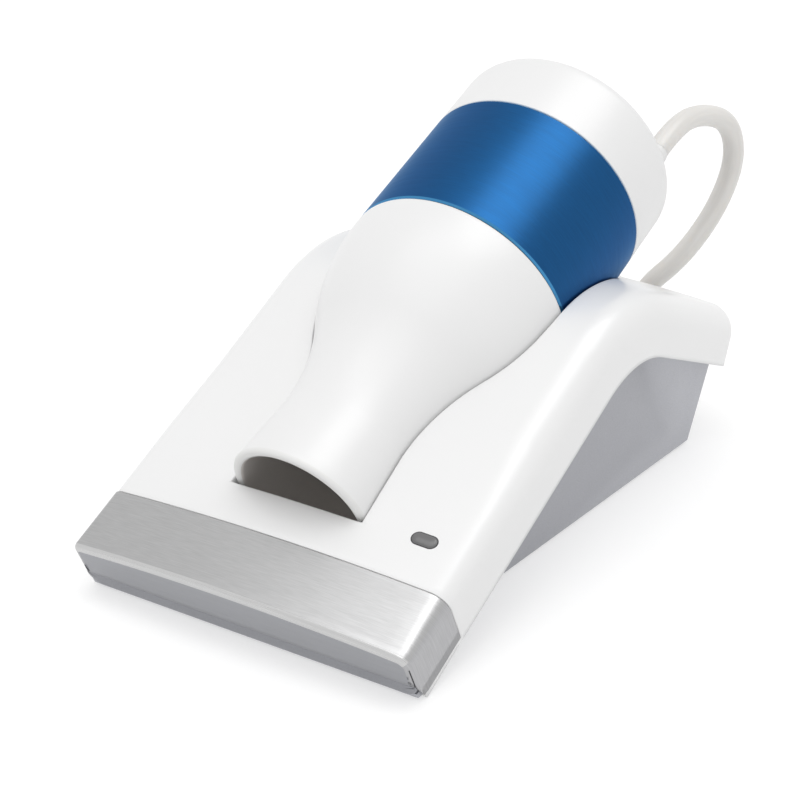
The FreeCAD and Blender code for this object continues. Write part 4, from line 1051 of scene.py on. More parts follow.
@dataclass
class Hose:
    """The limp hose from the cap to the cradle's port, with its put-away turns.

    Attributes:
        radius: Outside radius.
        upper: Route from the fitting to the coil.
        lower: Route from the coil to the port.
        centre: Middle of the coil.
        rings: Radii of the inner and outer turns.
        layers: Heights of the lower and upper turns.
        turns: Number of turns.
        per_turn: Control points for each turn.
        step_in: Degrees of the coil over which it steps to the inner turn.
        climb: Degrees over which it climbs to the upper layer.
        step_out: Degrees over which it steps out again.
        hanging: Heights between which the hose turns from lying to hanging.
        held: Point at which it stays with the cradle, in metres; not used.
        carried: Point at which it goes with the flowhead, in metres; not used.
    """

    radius: float = 2.85
    upper: tuple = ((24.4, 69.31, 77.17), (24.4, 80.74, 81.72), (25.6, 94.6, 80.9), (27.3, 108.3, 75.3),
                    (27.0, 115.2, 62.7), (23.4, 112.7, 48.0), (17.2, 105.3, 34.9), (7.8, 101.5, 24.9),
                    (3.0, 106.2, 12.3), (-4.6, 112.7, 5.7))
    lower: tuple = ((-31.5, 88.2, 7.6), (-18.5, 88.9, 5.4), (-5.5, 88.6, 4.4), (5.3, 83.8, 5.6),
                    (12.0, 75.0, 8.9), (14.0, 65.1, 11.0))
    centre: tuple[float, float] = (-44.0, 122.0)
    rings: tuple[float, float] = (28.3, 34.1)
    layers: tuple[float, float] = (2.9, 8.5)
    turns: float = 2.75
    per_turn: int = 20
    step_in: tuple[float, float] = (298.0, 348.0)
    climb: tuple[float, float] = (590.0, 650.0)
    step_out: tuple[float, float] = (900.0, 955.0)
    hanging: tuple[float, float] = (8.0, 30.0)
    held: Triple = (0.0244, 0.0693, 0.016)
    carried: Triple = (0.0244, 0.0693, 0.0772)

    def coil(self) -> Array:
        """Control points of the put-away turns.

        The angle grows evenly from 0 to the last quarter turn.  The first turn is the outer one on
        the table; the hose then steps inwards, climbs on the inner turn, and steps out again on top,
        each over an eighth of a turn.  The point is centre + ring * (cos, sin) at the layer's height.
        """
        angle = np.arange(0.5, self.turns * self.per_turn) * 2.0 * math.pi / self.per_turn
        degrees = np.degrees(angle)
        inwards = smooth_step(degrees, *self.step_in) - smooth_step(degrees, *self.step_out)
        ring = self.rings[1] + (self.rings[0] - self.rings[1]) * inwards
        height = self.layers[0] + (self.layers[1] - self.layers[0]) * smooth_step(degrees, *self.climb)
        return np.stack([self.centre[0] + ring * np.cos(angle), self.centre[1] + ring * np.sin(angle), height], -1)

    def line(self) -> Array:
        """Points of the hose's smooth line, read from one NURBS spline through the route."""
        route = np.concatenate([np.array(self.upper), self.coil(), np.array(self.lower)]) * MM
        data = bpy.data.curves.new("hose_line", "CURVE")
        data.dimensions = "3D"
        spline = data.splines.new("NURBS")
        spline.points.add(len(route) - 1)
        spline.points.foreach_set("co", np.hstack([route, np.ones((len(route), 1))]).ravel())
        spline.order_u = 3
        spline.use_endpoint_u = True
        spline.resolution_u = 8
        holder = bpy.data.objects.new("hose_line", data)
        bpy.context.scene.collection.objects.link(holder)
        mesh = bpy.data.meshes.new_from_object(holder)
        points = np.empty(len(mesh.vertices) * 3, np.float32)
        mesh.vertices.foreach_get("co", points)
        bpy.data.objects.remove(holder)
        bpy.data.meshes.remove(mesh)
        return points.reshape(-1, 3).astype(float) / MM

    def tube(self, line: Array, radius: float, sides: int = 18) -> Array:
        """Carries a circle along a line.

        The circle lies across the tangent T.  Its first axis is W - (W.T)T, where the guide W turns
        from X on the hanging stretch to -Z on the lying one, so it is never along the hose.

        Args:
            line: Points of the line, (n, 3).
            radius: The circle's radius.
            sides: Points on it.

        Returns:
            The grid (n, sides, 3).
        """
        tangent = np.gradient(line, axis=0)
        tangent /= np.linalg.norm(tangent, axis=1, keepdims=True)
        share = 1.0 - smooth_step(line[:, 2], *self.hanging)[:, None]
        guide = (1.0 - share) * np.array([1.0, 0.0, 0.0]) + share * np.array([0.0, 0.0, -1.0])
        first = guide - (guide * tangent).sum(1, keepdims=True) * tangent
        first /= np.linalg.norm(first, axis=1, keepdims=True)
        second = np.cross(tangent, first)
        angle = np.arange(sides) / sides * 2.0 * math.pi
        circle = first[:, None, :] * np.cos(angle)[None, :, None] + second[:, None, :] * np.sin(angle)[None, :, None]
        return line[:, None, :] + radius * circle

    def build(self) -> bpy.types.Object:
        line = self.line()
        grid = self.tube(line, self.radius)
        ends = [np.repeat(grid[i].mean(0)[None, None, :], grid.shape[1], axis=1) for i in (0, -1)]
        grid = np.concatenate([ends[0], grid, ends[1]])
        hose = make_piece("hose", [Patch(grid, wrap_columns=True)], [HOSE], sharp=50.0)
        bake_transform(hose)
        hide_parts("upper_hose", "hose_coil", "lower_hose")
        return hose


# Cradle

def two_halves(right: Array, left: Array) -> Array:
    """Joins a right half with the mirror image of another one; the middle column isn't doubled."""
    return np.concatenate([left[:, :0:-1] * np.array([-1.0, 1.0, 1.0]), right], axis=1)


def thicken(piece: bpy.types.Object, name: str, wall: float) -> None:
    """Gives a skin its thickness, inwards.

    Args:
        piece: The piece.
        name: Name of the modifier.
        wall: Thickness, in millimetres.
    """
    modifier = piece.modifiers.new(name, "SOLIDIFY")
    modifier.thickness, modifier.offset, modifier.use_even_offset = wall * MM, -1.0, False


@dataclass
class TopShell:
    """White moulding: ramp, crest and rear slope in one skin, with the flowhead's pocket pressed into it.

    Attributes:
        start: Station of its visible front edge, behind the metal plate.
        gap: Air round the flowhead.
        mouth_room: More air in front of the mouth, in which it twists.
        lip: Rounding of the pocket's rim.
        end_round: Upper rounding of the rear end.
        end_low: Lower rounding of the rear end.
        end_wall: How far the skin turns forward under the rear end.
        sill: Height of the strip that runs on under the plate's side flanges.
        wall: Thickness of the skin.
        edge: Share of the shoulder's rounding that this half keeps.
        left_edge: The same share on the left.
        hidden: Stations under the metal plate.
        hidden_inset: Depth of the skin there.
        front_edge: Rounding of the visible front edge, as pairs of a way behind it and an inset.
        middle: Width that the pocket's columns keep behind the pocket.
        crowding: How much the pocket's rows crowd towards its thin end.
        trough_steps: Columns of the pocket.
        lip_steps: Columns of its rounded rim.
        top_steps: Steps across the top.
        arc_steps: Steps round the shoulder.
        pocket_steps: Rows of the pocket.
    """

    start: float = 17.66
    gap: float = 0.35
    mouth_room: float = 0.45
    lip: float = 0.5
    end_round: float = 6.0
    end_low: float = 3.0
    end_wall: float = 5.0
    sill: float = 1.2
    wall: float = 1.2
    edge: float = 1.0
    left_edge: float = 0.6
    hidden: tuple[float, ...] = (2.0, 9.0, 15.0, 17.4, 17.58)
    hidden_inset: float = 1.3
    front_edge: tuple = ((0.0, 0.22), (0.06, 0.07), (0.16, 0.0))
    middle: float = 8.0
    crowding: float = 0.65
    trough_steps: int = 14
    lip_steps: int = 4
    top_steps: int = 16
    arc_steps: int = 12
    pocket_steps: int = 150

    def rim(self, v: Array) -> tuple[Array, Array, Array]:
        """The pocket's rim on the top at station v: its x, and u and s in the flowhead's frame.

        The pocket has upright walls above the axis and is round below it, so x = R for u > 0 and
        sqrt(R^2 - u^2) below.  The crown makes u depend on x, so x is found by substitution.
        """
        x = np.full_like(v, 20.0)
        for _ in range(12):
            u, s = AXIS.read(BAND.place(v, x, BAND.top(x)))
            reach = AXIS.outside(s) + self.gap
            x = np.where(u > 0.0, reach, np.sqrt(np.maximum(reach ** 2 - u ** 2, 0.0)))
        u, s = AXIS.read(BAND.place(v, x, BAND.top(x)))
        return x, u, s

    def pocket_ends(self) -> tuple[float, float]:
        """Stations of the pocket's front wall and of the point where it runs out behind the crest."""
        v = np.linspace(0.0, BAND.length - 1.0, 20001)
        u, s = AXIS.read(BAND.place(v, 0.0, BAND.top(0.0)))
        ramp, rear = v < 60.0, v > BAND.crest_end
        face = s - AXIS.mouth_face(u) + self.gap + self.mouth_room
        front = float(np.interp(0.0, face[ramp], v[ramp]))
        depth, v = (u + AXIS.outside(s) + self.gap)[rear], v[rear]
        i = int(np.nonzero(np.diff(np.sign(depth)))[0][0])
        back = float(v[i] + (v[i + 1] - v[i]) * depth[i] / (depth[i] - depth[i + 1]))
        return front, back

    def trough(self, x: Array, u: Array, s: Array, lip: Array) -> Array:
        """Points of the pocket's wall from its bottom up to the rim, (rows, columns, 3).

        Going down from the rim, the wall is straight over the axis and then follows the circle; a
        share g of that whole way, measured from the rim, gives (R, u - way) or, on the circle,
        (R cos a, -R sin a).
        """
        reach = AXIS.outside(s) + self.gap
        upright = np.maximum(u, 0.0)
        first = np.arcsin(np.clip(np.maximum(-u, 0.0) / reach, 0.0, 1.0))
        whole = upright + reach * (math.pi / 2.0 - first)
        share = np.linspace(1.0, 0.0, self.trough_steps)[None, :]
        way = lip[:, None] + (whole - lip)[:, None] * share
        on_wall = way < upright[:, None]
        angle = first[:, None] + np.maximum(way - upright[:, None], 0.0) / reach[:, None]
        across = np.where(on_wall, reach[:, None], reach[:, None] * np.cos(angle))
        high = np.where(on_wall, u[:, None] - way, -reach[:, None] * np.sin(angle))
        return AXIS.place(np.maximum(across, 0.0), high, s[:, None] + 0.0 * share)

    def outer(self, v: Array, inner: Array, inset: Array, low: Array) -> Array:
        """The skin from an inner x over the shoulder to the lower edge, (rows, columns, 3).

        In front of its visible edge the skin lies deeper by the inset, above the sill only.
        """
        radius = np.maximum(self.edge * BAND.shoulder(v) - inset, 0.3)
        x, n = Section(v, radius, inset).columns(inner, self.top_steps, self.arc_steps, low + self.sill)
        foot_x = np.repeat(BAND.half - np.where(v < self.start, 0.0, inset)[:, None], 2, axis=1)
        foot_n = np.stack([low + self.sill, low], axis=1)
        return BAND.place(v[:, None], np.hstack([x, foot_x]), np.hstack([n, foot_n]))

    def plain_rows(self, v: Array, middle: Array, inset: Array, low: Array) -> Array:
        """Half rows without the pocket; the pocket's columns are spread over the top up to middle."""
        count = self.trough_steps + self.lip_steps
        share = (np.arange(count) / count)[None, :]
        x = middle[:, None] * share
        inside = BAND.place(v[:, None], x, BAND.top(x) - inset[:, None])
        return np.concatenate([inside, self.outer(v, middle, inset, low)], axis=1)

    def pocket_rows(self, v: Array) -> Array:
        """Half rows with the pocket: bottom, wall, rounded rim, then the skin."""
        x, u, s = self.rim(v)
        lip = np.minimum(self.lip, 0.5 * x)
        wall = self.trough(x, u, s, lip)
        zero = np.zeros_like(v)
        skin = self.outer(v, x + lip, zero, zero)
        corner = BAND.place(v, x, BAND.top(x))
        rim = bezier(wall[:, -1], corner, skin[:, 0], self.lip_steps)
        return np.concatenate([wall, rim, skin], axis=1)

    def front_wall_rows(self, v: float, first: Array) -> Array:
        """Half rows that round the rim over the pocket's front wall, between the ramp and the pocket."""
        count = self.trough_steps + self.lip_steps
        middle = first[count, 0]
        x = middle * np.arange(count) / count
        top = BAND.place(v - self.lip, x, BAND.top(x))
        edge = BAND.place(v, x, BAND.top(x))
        u, s = AXIS.read(edge)
        below = AXIS.place(x, u - self.lip, s)
        inside = np.moveaxis(bezier(top, edge, below, self.lip_steps), 1, 0)
        way = v - self.lip + self.lip * np.arange(1, self.lip_steps + 1) / (self.lip_steps + 1)
        zero = np.zeros_like(way)
        return np.concatenate([inside, self.outer(way, zero + middle, zero, zero)], axis=1)

    def end_rows(self) -> Array:
        """Half rows of the rounded rear end, which then turn under it.

        At a distance a before the end the outline is drawn in by r - sqrt(r^2 - (r - a)^2), and its
        lower edge rises by the same rule with the lower radius.  The last rows are straight lines
        across: down the end face, round its lower edge and forward under it.
        """
        upper = self.end_round * (1.0 - np.sin(np.linspace(0.0, math.pi / 2.0, 15)))[1:]
        lower = self.end_low * (1.0 - np.sin(np.linspace(0.0, math.pi / 2.0, 7)))
        a = np.unique(np.concatenate([upper, [self.end_wall], lower]))[::-1]
        inset = self.end_round - np.sqrt(np.maximum(self.end_round ** 2 - (self.end_round - a) ** 2, 0.0))
        near = np.clip(a, 0.0, self.end_low)
        low = self.end_low - np.sqrt(np.maximum(self.end_low ** 2 - (self.end_low - near) ** 2, 0.0))
        v = BAND.length - a
        rounded = self.plain_rows(v, np.full_like(v, self.middle), inset, low)
        under = a <= self.end_wall
        v_under, low_under, inset_under = v[under][::-1], low[under][::-1], inset[under][::-1]
        share = np.linspace(0.0, 1.0, rounded.shape[1])[None, :]
        across = (BAND.half - inset_under)[:, None] * share
        lines = BAND.place(v_under[:, None], across, low_under[:, None] + 0.0 * share)
        return np.concatenate([rounded, lines])

    def half(self) -> Array:
        """All rows of one half, from the nose to the rear end.

        The pocket's rows stand at (1 - c) t + c (1 - (1 - t)^2) of its length, t even and c the
        crowding, and stop just short of the point where it runs out.
        """
        front, back = self.pocket_ends()
        x_front = self.rim(np.array([front]))[0][0] + self.lip
        way, drawn_in = np.array(self.front_edge).T
        nose_v = np.concatenate([self.hidden, self.start + way])
        nose_inset = np.concatenate([np.full(len(self.hidden), self.hidden_inset), drawn_in])
        ramp_v = np.concatenate([nose_v, np.linspace(nose_v[-1], front - self.lip, 8)[1:]])
        inset = np.concatenate([nose_inset, np.zeros(len(ramp_v) - len(nose_v))])
        zero = np.zeros_like(ramp_v)
        ramp = self.plain_rows(ramp_v, zero + x_front, inset, zero)
        share = np.linspace(0.0, 1.0, self.pocket_steps)
        share = (1.0 - self.crowding) * share + self.crowding * (1.0 - (1.0 - share) ** 2)
        pocket_v = front + (back - 0.002 - front) * share
        pocket = self.pocket_rows(pocket_v)
        wall = self.front_wall_rows(front, pocket[0])
        slope_v = back + (BAND.length - self.end_round - back) * np.linspace(0.0, 1.0, 14)[1:]
        zero = np.zeros_like(slope_v)
        middle = self.middle * smooth_step(slope_v, back, BAND.length - self.end_round)
        slope = self.plain_rows(slope_v, middle, zero, zero)
        LOG.info("pocket from station %.1f to %.1f", front, back)
        return np.concatenate([ramp, wall, pocket, slope, self.end_rows()])

    def build(self) -> bpy.types.Object:
        """Makes the shell; its left shoulder is crisper than its right one."""
        grid = two_halves(self.half(), replace(self, edge=self.left_edge).half())
        shell = make_piece("top_shell_skin", [Patch(grid)], [WHITE_SHELL], sharp=38.0)
        thicken(shell, "wall", self.wall)
        return settle(shell, "cradle", "white_shell", "top_shell")


class PlateArea(IntEnum):
    """Areas of the metal plate, in the order of its finishes."""

    TOP = 0
    FLANGE = 1
    FACE = 2
    # Lighter grey on the fold and the rear edge: a painted highlight.
    EDGE_PAINTED_HIGHLIGHT = 3
    MITRE = 4


@dataclass
class FrontPlate:
    """Folded sheet over the nose of the band: top, front face and two side flanges.

    Attributes:
        run: Depth up the ramp.
        bend: Outer radius of the fold.
        sheet: Thickness.
        front_low: Lower edge of the front face over the underside.
        side_low: Lower edge of the flanges over the underside.
        mitre: Station at which the cut of the flange's lower front corner ends.
        mitre_high: How far over the face's foot it starts.
        set_back: Station of the face.
        rear_edge: Rounding of the rear edge, as pairs of a way before it and an inset.
        edge: Share of the shoulder's rounding that this half keeps.
        left_edge: The same share on the left.
        least: Least rounding of the shoulder.
        face_steps: Rows of the face.
        fold_steps: Rows of the fold.
        fold_painted_highlight_rows: Rows of the fold that take the lighter grey, a painted highlight.
        top_steps: Steps across the top.
        arc_steps: Steps round the shoulder.
        flange_from: Column at which the flange starts.
        mitre_row: Row of the dark mitre seam.
        mitre_from: Column at which it starts.
    """

    run: float = 17.5
    bend: float = 1.5
    sheet: float = 0.3
    front_low: float = 6.0
    side_low: float = 1.3
    mitre: float = 1.6
    mitre_high: float = 0.3
    set_back: float = 0.03
    rear_edge: tuple = ((0.12, 0.0), (0.04, 0.05), (0.0, 0.14))
    edge: float = 1.0
    left_edge: float = 0.45
    least: float = 0.6
    face_steps: int = 8
    fold_steps: int = 8
    fold_painted_highlight_rows: int = 7
    top_steps: int = 14
    arc_steps: int = 10
    flange_from: int = 20
    mitre_row: int = 11
    mitre_from: int = 24

    def half(self) -> Array:
        """Half of the sheet, from its middle to the right flange.

        The rows go from the front face's foot up the face, round the fold on a quarter circle, and
        up the ramp; the columns run along the band's outline and down the flange.  In the face the
        outline's points sink in straight lines to the foot.
        """
        way, drawn_in = np.array(self.rear_edge).T
        fold = self.bend * (1.0 - np.cos(np.linspace(0.0, math.pi / 2.0, self.fold_steps + 1)))
        v = np.concatenate([fold, np.linspace(self.bend, self.run - way[0], 12)[1:], self.run - way[1:]])
        inset = self.bend - np.sqrt(np.maximum(self.bend ** 2 - np.maximum(self.bend - v, 0.0) ** 2, 0.0))
        inset[-2:] = drawn_in[1:]
        radius = np.maximum(self.edge * BAND.shoulder(v) - inset, self.least)
        low = np.interp(v, [0.0, self.mitre], [self.front_low + self.mitre_high, self.side_low])
        x, n = Section(v, radius, inset).columns(np.zeros_like(v), self.top_steps, self.arc_steps, low, 3)
        share = np.linspace(0.0, 1.0, self.face_steps + 1)[:-1, None]
        face_n = self.front_low + (n[0] - self.front_low)[None, :] * share
        x = np.vstack([np.repeat(x[:1], self.face_steps, axis=0), x])
        v = np.concatenate([np.zeros(self.face_steps), v]) + self.set_back
        return BAND.place(v[:, None], x, np.vstack([face_n, n]))

    def build(self) -> bpy.types.Object:
        """Makes the plate: brushed top and flanges, smooth face, dark mitre seams, and a lighter grey on the fold
        and the rear edge as a painted highlight.
        """
        right = self.half()
        grid = two_halves(right, replace(self, edge=self.left_edge).half())
        paint = np.full((right.shape[0] - 1, right.shape[1] - 1), int(PlateArea.TOP))
        paint[:, self.flange_from:] = PlateArea.FLANGE
        paint[:self.face_steps] = PlateArea.FACE
        # Painted highlight: the fold's rows take the lighter grey.
        paint[self.face_steps:self.face_steps + self.fold_painted_highlight_rows, :self.flange_from] = PlateArea.EDGE_PAINTED_HIGHLIGHT
        paint[self.mitre_row, self.mitre_from:] = PlateArea.MITRE
        # Painted highlight on the rounded rear edge too.
        paint[-2:] = PlateArea.EDGE_PAINTED_HIGHLIGHT
        plate = make_piece("front_plate_sheet", [Patch(grid, paint=np.concatenate([paint[:, ::-1], paint], axis=1))],
                           [PLATE_TOP, PLATE_SIDE, PLATE_FRONT, PLATE_PAINTED_HIGHLIGHT, SEAM], sharp=30.0)
        thicken(plate, "sheet", self.sheet)
        return settle(plate, "cradle", "brushed_plate", "front_plate")


@dataclass
class FrontLip:
    """Grey strip of the tray under the plate's face, with rounded lower corners; its grey is the tray's grey painted
    darker, as painted shade.

    Attributes:
        half: Half of its width.
        low: Lower edge over the band's underside.
        high: Upper edge.
        corner: Rounding of the lower corners.
        front: Station of its face.
        back: Station at which it ends inside.
        soft: Rounding of the face's edges.
    """

    half: float = 44.9
    low: float = 1.9
    high: float = 5.8
    corner: float = 3.4
    front: float = 0.12
    back: float = 3.0
    soft: float = 0.35

    def ring(self, drawn_in: float, v: float) -> Array:
        """The strip's outline at station v, drawn in by an amount."""
        h, low, high = self.half - drawn_in, self.low + drawn_in, self.high - drawn_in
        line = rounded_line([(-h, low, self.corner), (h, low, self.corner), (h, high, 0.3), (-h, high, 0.3)], 10)
        return BAND.place(v, line[:, 0], line[:, 1])

    def seal(self, v: float) -> Array:
        """The outline pressed flat onto its middle line, which closes an end."""
        points = self.ring(0.0, v)
        reach = self.half - self.corner
        return BAND.place(v, np.clip(points[:, 0], -reach, reach), (self.low + self.high) / 2.0)

    def build(self) -> bpy.types.Object:
        """Makes the strip: the face's edge is drawn in by soft * (1 - sin t) at soft * (1 - cos t) behind it."""
        t = np.linspace(0.0, math.pi / 2.0, 6)
        rings = [self.ring(self.soft * (1.0 - math.sin(a)), self.front + self.soft * (1.0 - math.cos(a))) for a in t]
        grid = np.stack([self.seal(self.front), *rings, self.ring(0.0, self.back), self.seal(self.back)])
        # The strip takes the darker grey, which is painted shade.
        return settle(make_piece("front_lip", [Patch(grid, wrap_columns=True)], [GREY_LIP_PAINTED_SHADE]), "cradle", "grey_tray")


@dataclass
class StatusWindow:
    """Pill-shaped window of the status light, slightly domed, in a dark seam.

    Attributes:
        side: Its middle, to the right of the cradle's middle.
        run: Station of its middle.
        length: Its length across the ramp.
        width: Its width.
        dome: Height of its dome.
        step: Height of its edge over the ramp.
        seam: Width of the seam.
        foot: How deep its edge goes into the shell.
        sides: Points round it.
    """

    side: float = 33.4
    run: float = 29.1
    length: float = 6.1
    width: float = 3.1
    dome: float = 0.28
    step: float = 0.14
    seam: float = 0.22
    foot: float = 1.6
    sides: int = 72

    def build(self) -> bpy.types.Object:
        """Makes the window.

        Rings of growing distance d round the pill's middle line rise over the ramp by
        dome * (1 - (d / r)^2) plus a small step; the outermost rings fall into the seam.
        """
        radius = self.width / 2.0
        reach = self.length / 2.0 - radius
        rim = [radius - 0.22, radius - 0.08, radius, radius + 0.02, radius + self.seam, radius + self.seam + 0.02]
        d = np.concatenate([np.linspace(0.02, radius - 0.3, 9), rim])
        lift = np.concatenate([self.step + self.dome * (1.0 - (d[:9] / radius) ** 2),
                               [0.16, 0.15, 0.05, 0.02, 0.02, -0.4]])
        angle = np.arange(self.sides) / self.sides * 2.0 * math.pi
        x = self.side + reach * np.sign(np.cos(angle))[None, :] + d[:, None] * np.cos(angle)[None, :]
        v = self.run + d[:, None] * np.sin(angle)[None, :]
        grid = BAND.place(v, x, BAND.top(x) + lift[:, None])
        paint = np.repeat(np.array([0] * 8 + [1, 1, 1, 2, 2, 2])[:, None], self.sides, axis=1)
        line = np.stack([self.side + reach * np.sign(np.cos(angle)), 0 * angle + self.run], -1)
        centre = BAND.place(line[:, 1], line[:, 0], BAND.top(line[:, 0]) + self.step + self.dome)
        grid = np.concatenate([centre[None], grid])
        paint = np.concatenate([paint[:1], paint])
        foot = BAND.place(v[-1], x[-1], BAND.top(x[-1]) - self.foot)
        under = BAND.place(line[:, 1], line[:, 0], BAND.top(line[:, 0]) - self.foot)
        grid = np.concatenate([grid, foot[None], under[None]])
        paint = np.concatenate([paint, np.full((2, self.sides), 2)])
        window = make_piece("status_window_pane", [Patch(grid, wrap_columns=True, paint=paint)],
                            [WINDOW, WINDOW_RIM, SEAM], sharp=40.0)
        return settle(window, "cradle", "grey_window", "status_window")


@dataclass
class Cradle:
    """Everything that stands on the table."""

    shell: TopShell = field(default_factory=TopShell)
    plate: FrontPlate = field(default_factory=FrontPlate)
    lip: FrontLip = field(default_factory=FrontLip)
    window: StatusWindow = field(default_factory=StatusWindow)

    def build(self) -> None:
        """Makes the cradle's pieces."""
        self.shell.build()
        self.plate.build()
        self.lip.build()
        self.window.build()
        for node, name, finish, slot in (("base_tray", "base_tray_body", GREY_TRAY, "grey_tray"),
                                         ("rubber_feet", "rubber_feet_set", FOOT, "foot_rubber"),
                                         ("hose_port", "hose_port_turned", PORT, "port_plastic")):
            settle(merged_copy(node, name, [finish]), "cradle", slot, node)


# Flowhead

@dataclass
class Flowhead:
    """The round stack on one axis: mouth cone, blue sleeve with its core, rear cap and hose fitting.

    Attributes:
        bore: Bore of the mouth.
        spigot: Inside radius of the cone's wide end.
        sleeve: Length of the sleeve.
        cap: Length of the cap.
        outlet: Radius of the rear opening.
        cap_round: Rounding of the cap's rear edge.
        fitting: Place of the hose fitting, to the right of the axis and above it.
        lip: Rounding of the mouth's lip.
        slanted: Ways behind the mouth between which the slant of its face fades out.
        cone_edge: Outline (radius, s) of the cone's wide end, from its soft corner to the spigot.
        ring_bore: Inside radius of the sleeve's ends.
        ring_seam: Seam between the cone and the sleeve.
        chamfer: Width of the sleeve's chamfers, which take a lighter blue as a painted highlight.
    """

    bore: float = 15.0
    spigot: float = 25.3
    sleeve: float = 39.0
    cap: float = 21.0
    outlet: float = 20.5
    cap_round: float = 4.5
    fitting: tuple[float, float] = (24.4, 1.7)
    lip: float = 1.15
    slanted: tuple[float, float] = (4.0, 18.0)
    cone_edge: tuple = ((30.0, -1.2), (30.0, -0.5), (29.85, -0.2), (29.6, -0.05), (27.6, -0.05), (27.6, 3.8),
                        (25.3, 3.8))
    ring_bore: float = 28.0
    ring_seam: float = 0.25
    chamfer: float = 0.45

    def ring(self, name: str, outline: Array, paint: Array, finishes: list[Finish],
             sharp: float = 30.0) -> bpy.types.Object:
        """Turns a closed outline (radius, s) into a piece.

        Args:
            name: Name of the piece.
            outline: The outline, its start not repeated.
            paint: Material number of each of its edges.
            finishes: The materials.
            sharp: Angle of the edges that stay sharp.

        Returns:
            The piece.
        """
        grid = AXIS.turned(outline)
        return make_piece(name, [Patch(grid, wrap_rows=True, wrap_columns=True,
                                       paint=np.repeat(paint[:, None], grid.shape[1], axis=1))], finishes, sharp)

    def cone(self) -> None:
        """Mouth cone: rounded lip on a slanted face, waisted neck, S-shaped flare, grey inside.

        The turned outline is drawn towards the slanted face near the mouth: s moves by
        near * (face(u) + length), where near falls smoothly from 1 at the lip to 0 behind it.
        """
        angle = np.linspace(0.0, math.pi, 13)
        middle, front = (AXIS.mouth + self.bore) / 2.0, -AXIS.length + self.lip
        rim = np.stack([middle + (AXIS.mouth - middle) * np.cos(angle[::-1]), front - self.lip * np.sin(angle)], -1)
        s_out = np.concatenate([np.linspace(front, AXIS.flare_start, 8)[1:],
                                np.linspace(AXIS.flare_start, -AXIS.flare_end, 48)[1:]])
        out = np.stack([AXIS.outside(s_out), s_out], -1)
        s_in = np.linspace(-AXIS.flare_end, AXIS.flare_start, 36)
        inside = np.stack([AXIS.flare(s_in, self.bore, self.spigot), s_in], -1)
        outline = np.concatenate([rim, out, np.array(self.cone_edge), inside])
        paint = np.zeros(len(outline), int)
        bore_edges, lip_edges = 3, 12
        paint[:bore_edges] = 1
        paint[bore_edges:lip_edges] = 2
        paint[len(rim) + len(out) + 3:] = 1
        angle = np.arange(TURN_STEPS) / TURN_STEPS * 2.0 * math.pi
        radius, s = outline[:, :1], outline[:, 1:]
        u = radius * np.sin(angle)
        near = 1.0 - smooth_step(s, *(way - AXIS.length for way in self.slanted))
        grid = AXIS.place(radius * np.cos(angle), u, s + near * (AXIS.mouth_face(u) + AXIS.length))
        paint = np.repeat(paint[:, None], TURN_STEPS, axis=1)
        cone = make_piece("mouth_cone_body", [Patch(grid, wrap_rows=True, wrap_columns=True, paint=paint)],
                          [WHITE_HEAD, HEAD_BORE, MOUTH_LIP], 30.0)
        settle(cone, "mouth", "white_head", "mouth_cone")

    def sleeve_ring(self) -> None:
        """Blue sleeve with a chamfer at each end, painted a lighter blue as a painted highlight."""
        near, far, radius = self.ring_seam, self.sleeve, AXIS.wide
        along = np.linspace(near + self.chamfer, far - self.chamfer, 12)
        outline = np.array([[self.ring_bore, near], [radius - self.chamfer, near]] + [[radius, s] for s in along]
                           + [[radius - self.chamfer, far], [self.ring_bore, far]])
        paint = np.zeros(len(outline), int)
        # The chamfer faces take the lighter blue, a painted highlight.
        paint[[0, 1, len(outline) - 3, len(outline) - 2]] = 1
        sleeve = self.ring("blue_sleeve_tube", outline, paint, [BLUE, BLUE_CHAMFER_PAINTED_HIGHLIGHT])
        settle(sleeve, "flowhead", "blue_anodised", "blue_sleeve")

    def cap_ring(self) -> None:
        """Rear cap: rounded rear edge, wide outlet with a softened rim."""
        low, high = self.sleeve, self.sleeve + self.cap
        outline = rounded_line([(25.5, low - 4.0, 0.0), (27.9, low - 4.0, 0.0), (27.9, low + 0.05, 0.0),
                                (30.0, low + 0.05, 0.3), (30.0, high, self.cap_round), (self.outlet, high, 0.9),
                                (self.outlet, high - 3.0, 0.6), (27.0, high - 3.0, 1.0), (27.0, low + 3.0, 0.5)], 10)
        cap = self.ring("rear_cap_body", outline, np.zeros(len(outline), int), [WHITE_HEAD])
        settle(cap, "flowhead", "white_head", "rear_cap")

    def hose_fitting(self) -> None:
        """Hose fitting: a collar with a softened edge and a flared foot on the cap."""
        high = self.sleeve + self.cap
        outline = np.array([(0.0, -5.0), (3.6, -5.0), (3.6, -0.1), (3.35, 0.3), (3.1, 0.8), (3.1, 2.4), (3.0, 2.8),
                            (2.75, 3.0), (0.0, 3.0)])
        angle = np.arange(40) / 40 * 2.0 * math.pi
        radius, s = outline[:, :1], high + outline[:, 1:]
        across, up = self.fitting
        grid = AXIS.place(across + radius * np.cos(angle), up + radius * np.sin(angle), s + 0.0 * angle)
        fitting = make_piece("hose_fitting_collar", [Patch(grid, wrap_columns=True)], [PORT], sharp=40.0)
        settle(fitting, "flowhead", "port_plastic", "hose_fitting")

    def build(self) -> None:
        """Makes the flowhead's pieces."""
        self.cone()
        self.sleeve_ring()
        self.cap_ring()
        self.hose_fitting()


KEPT_NODES: dict[str, Finish] = {
    "shell_screws": SCREW, "board_screws": SCREW, "ballast_plate": ROLLED, "circuit_board": BOARD,
    "light_board": BOARD, "status_lamp": LAMP, "data_socket": SOCKET, "pressure_sensor": CHIP, "inner_tube": TUBE,
    "front_seal": SEAL, "rear_seal": SEAL, "front_tap_ring": TURNED, "rear_tap_ring": TURNED, "capillary_core": FOIL,
    "pressure_duct": TUBE, "hose_tie": TIE,
}


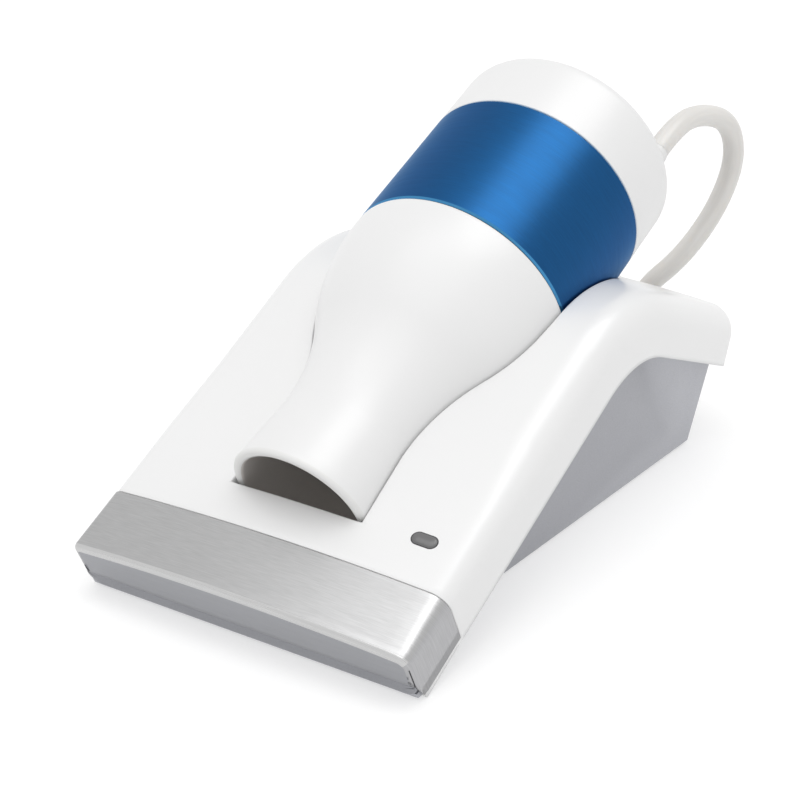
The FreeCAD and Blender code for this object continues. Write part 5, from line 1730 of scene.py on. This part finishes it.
def dress_kept_nodes() -> None:
    """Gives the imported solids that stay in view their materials."""
    for node, finish in KEPT_NODES.items():
        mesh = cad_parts[node].data
        mesh.materials.clear()
        mesh.materials.append(dress(finish))
        LOG.info("%s keeps its solid, in %s", node, finish.name)


def main() -> None:
    """Builds the studio, the hose, the cradle and the flowhead."""
    logging.basicConfig(level=logging.INFO, format="%(name)s: %(message)s", stream=sys.stdout)
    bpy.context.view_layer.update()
    Studio().build()
    Hose().build()
    Cradle().build()
    Flowhead().build()
    dress_kept_nodes()


if __name__ == "__main__":
    main()
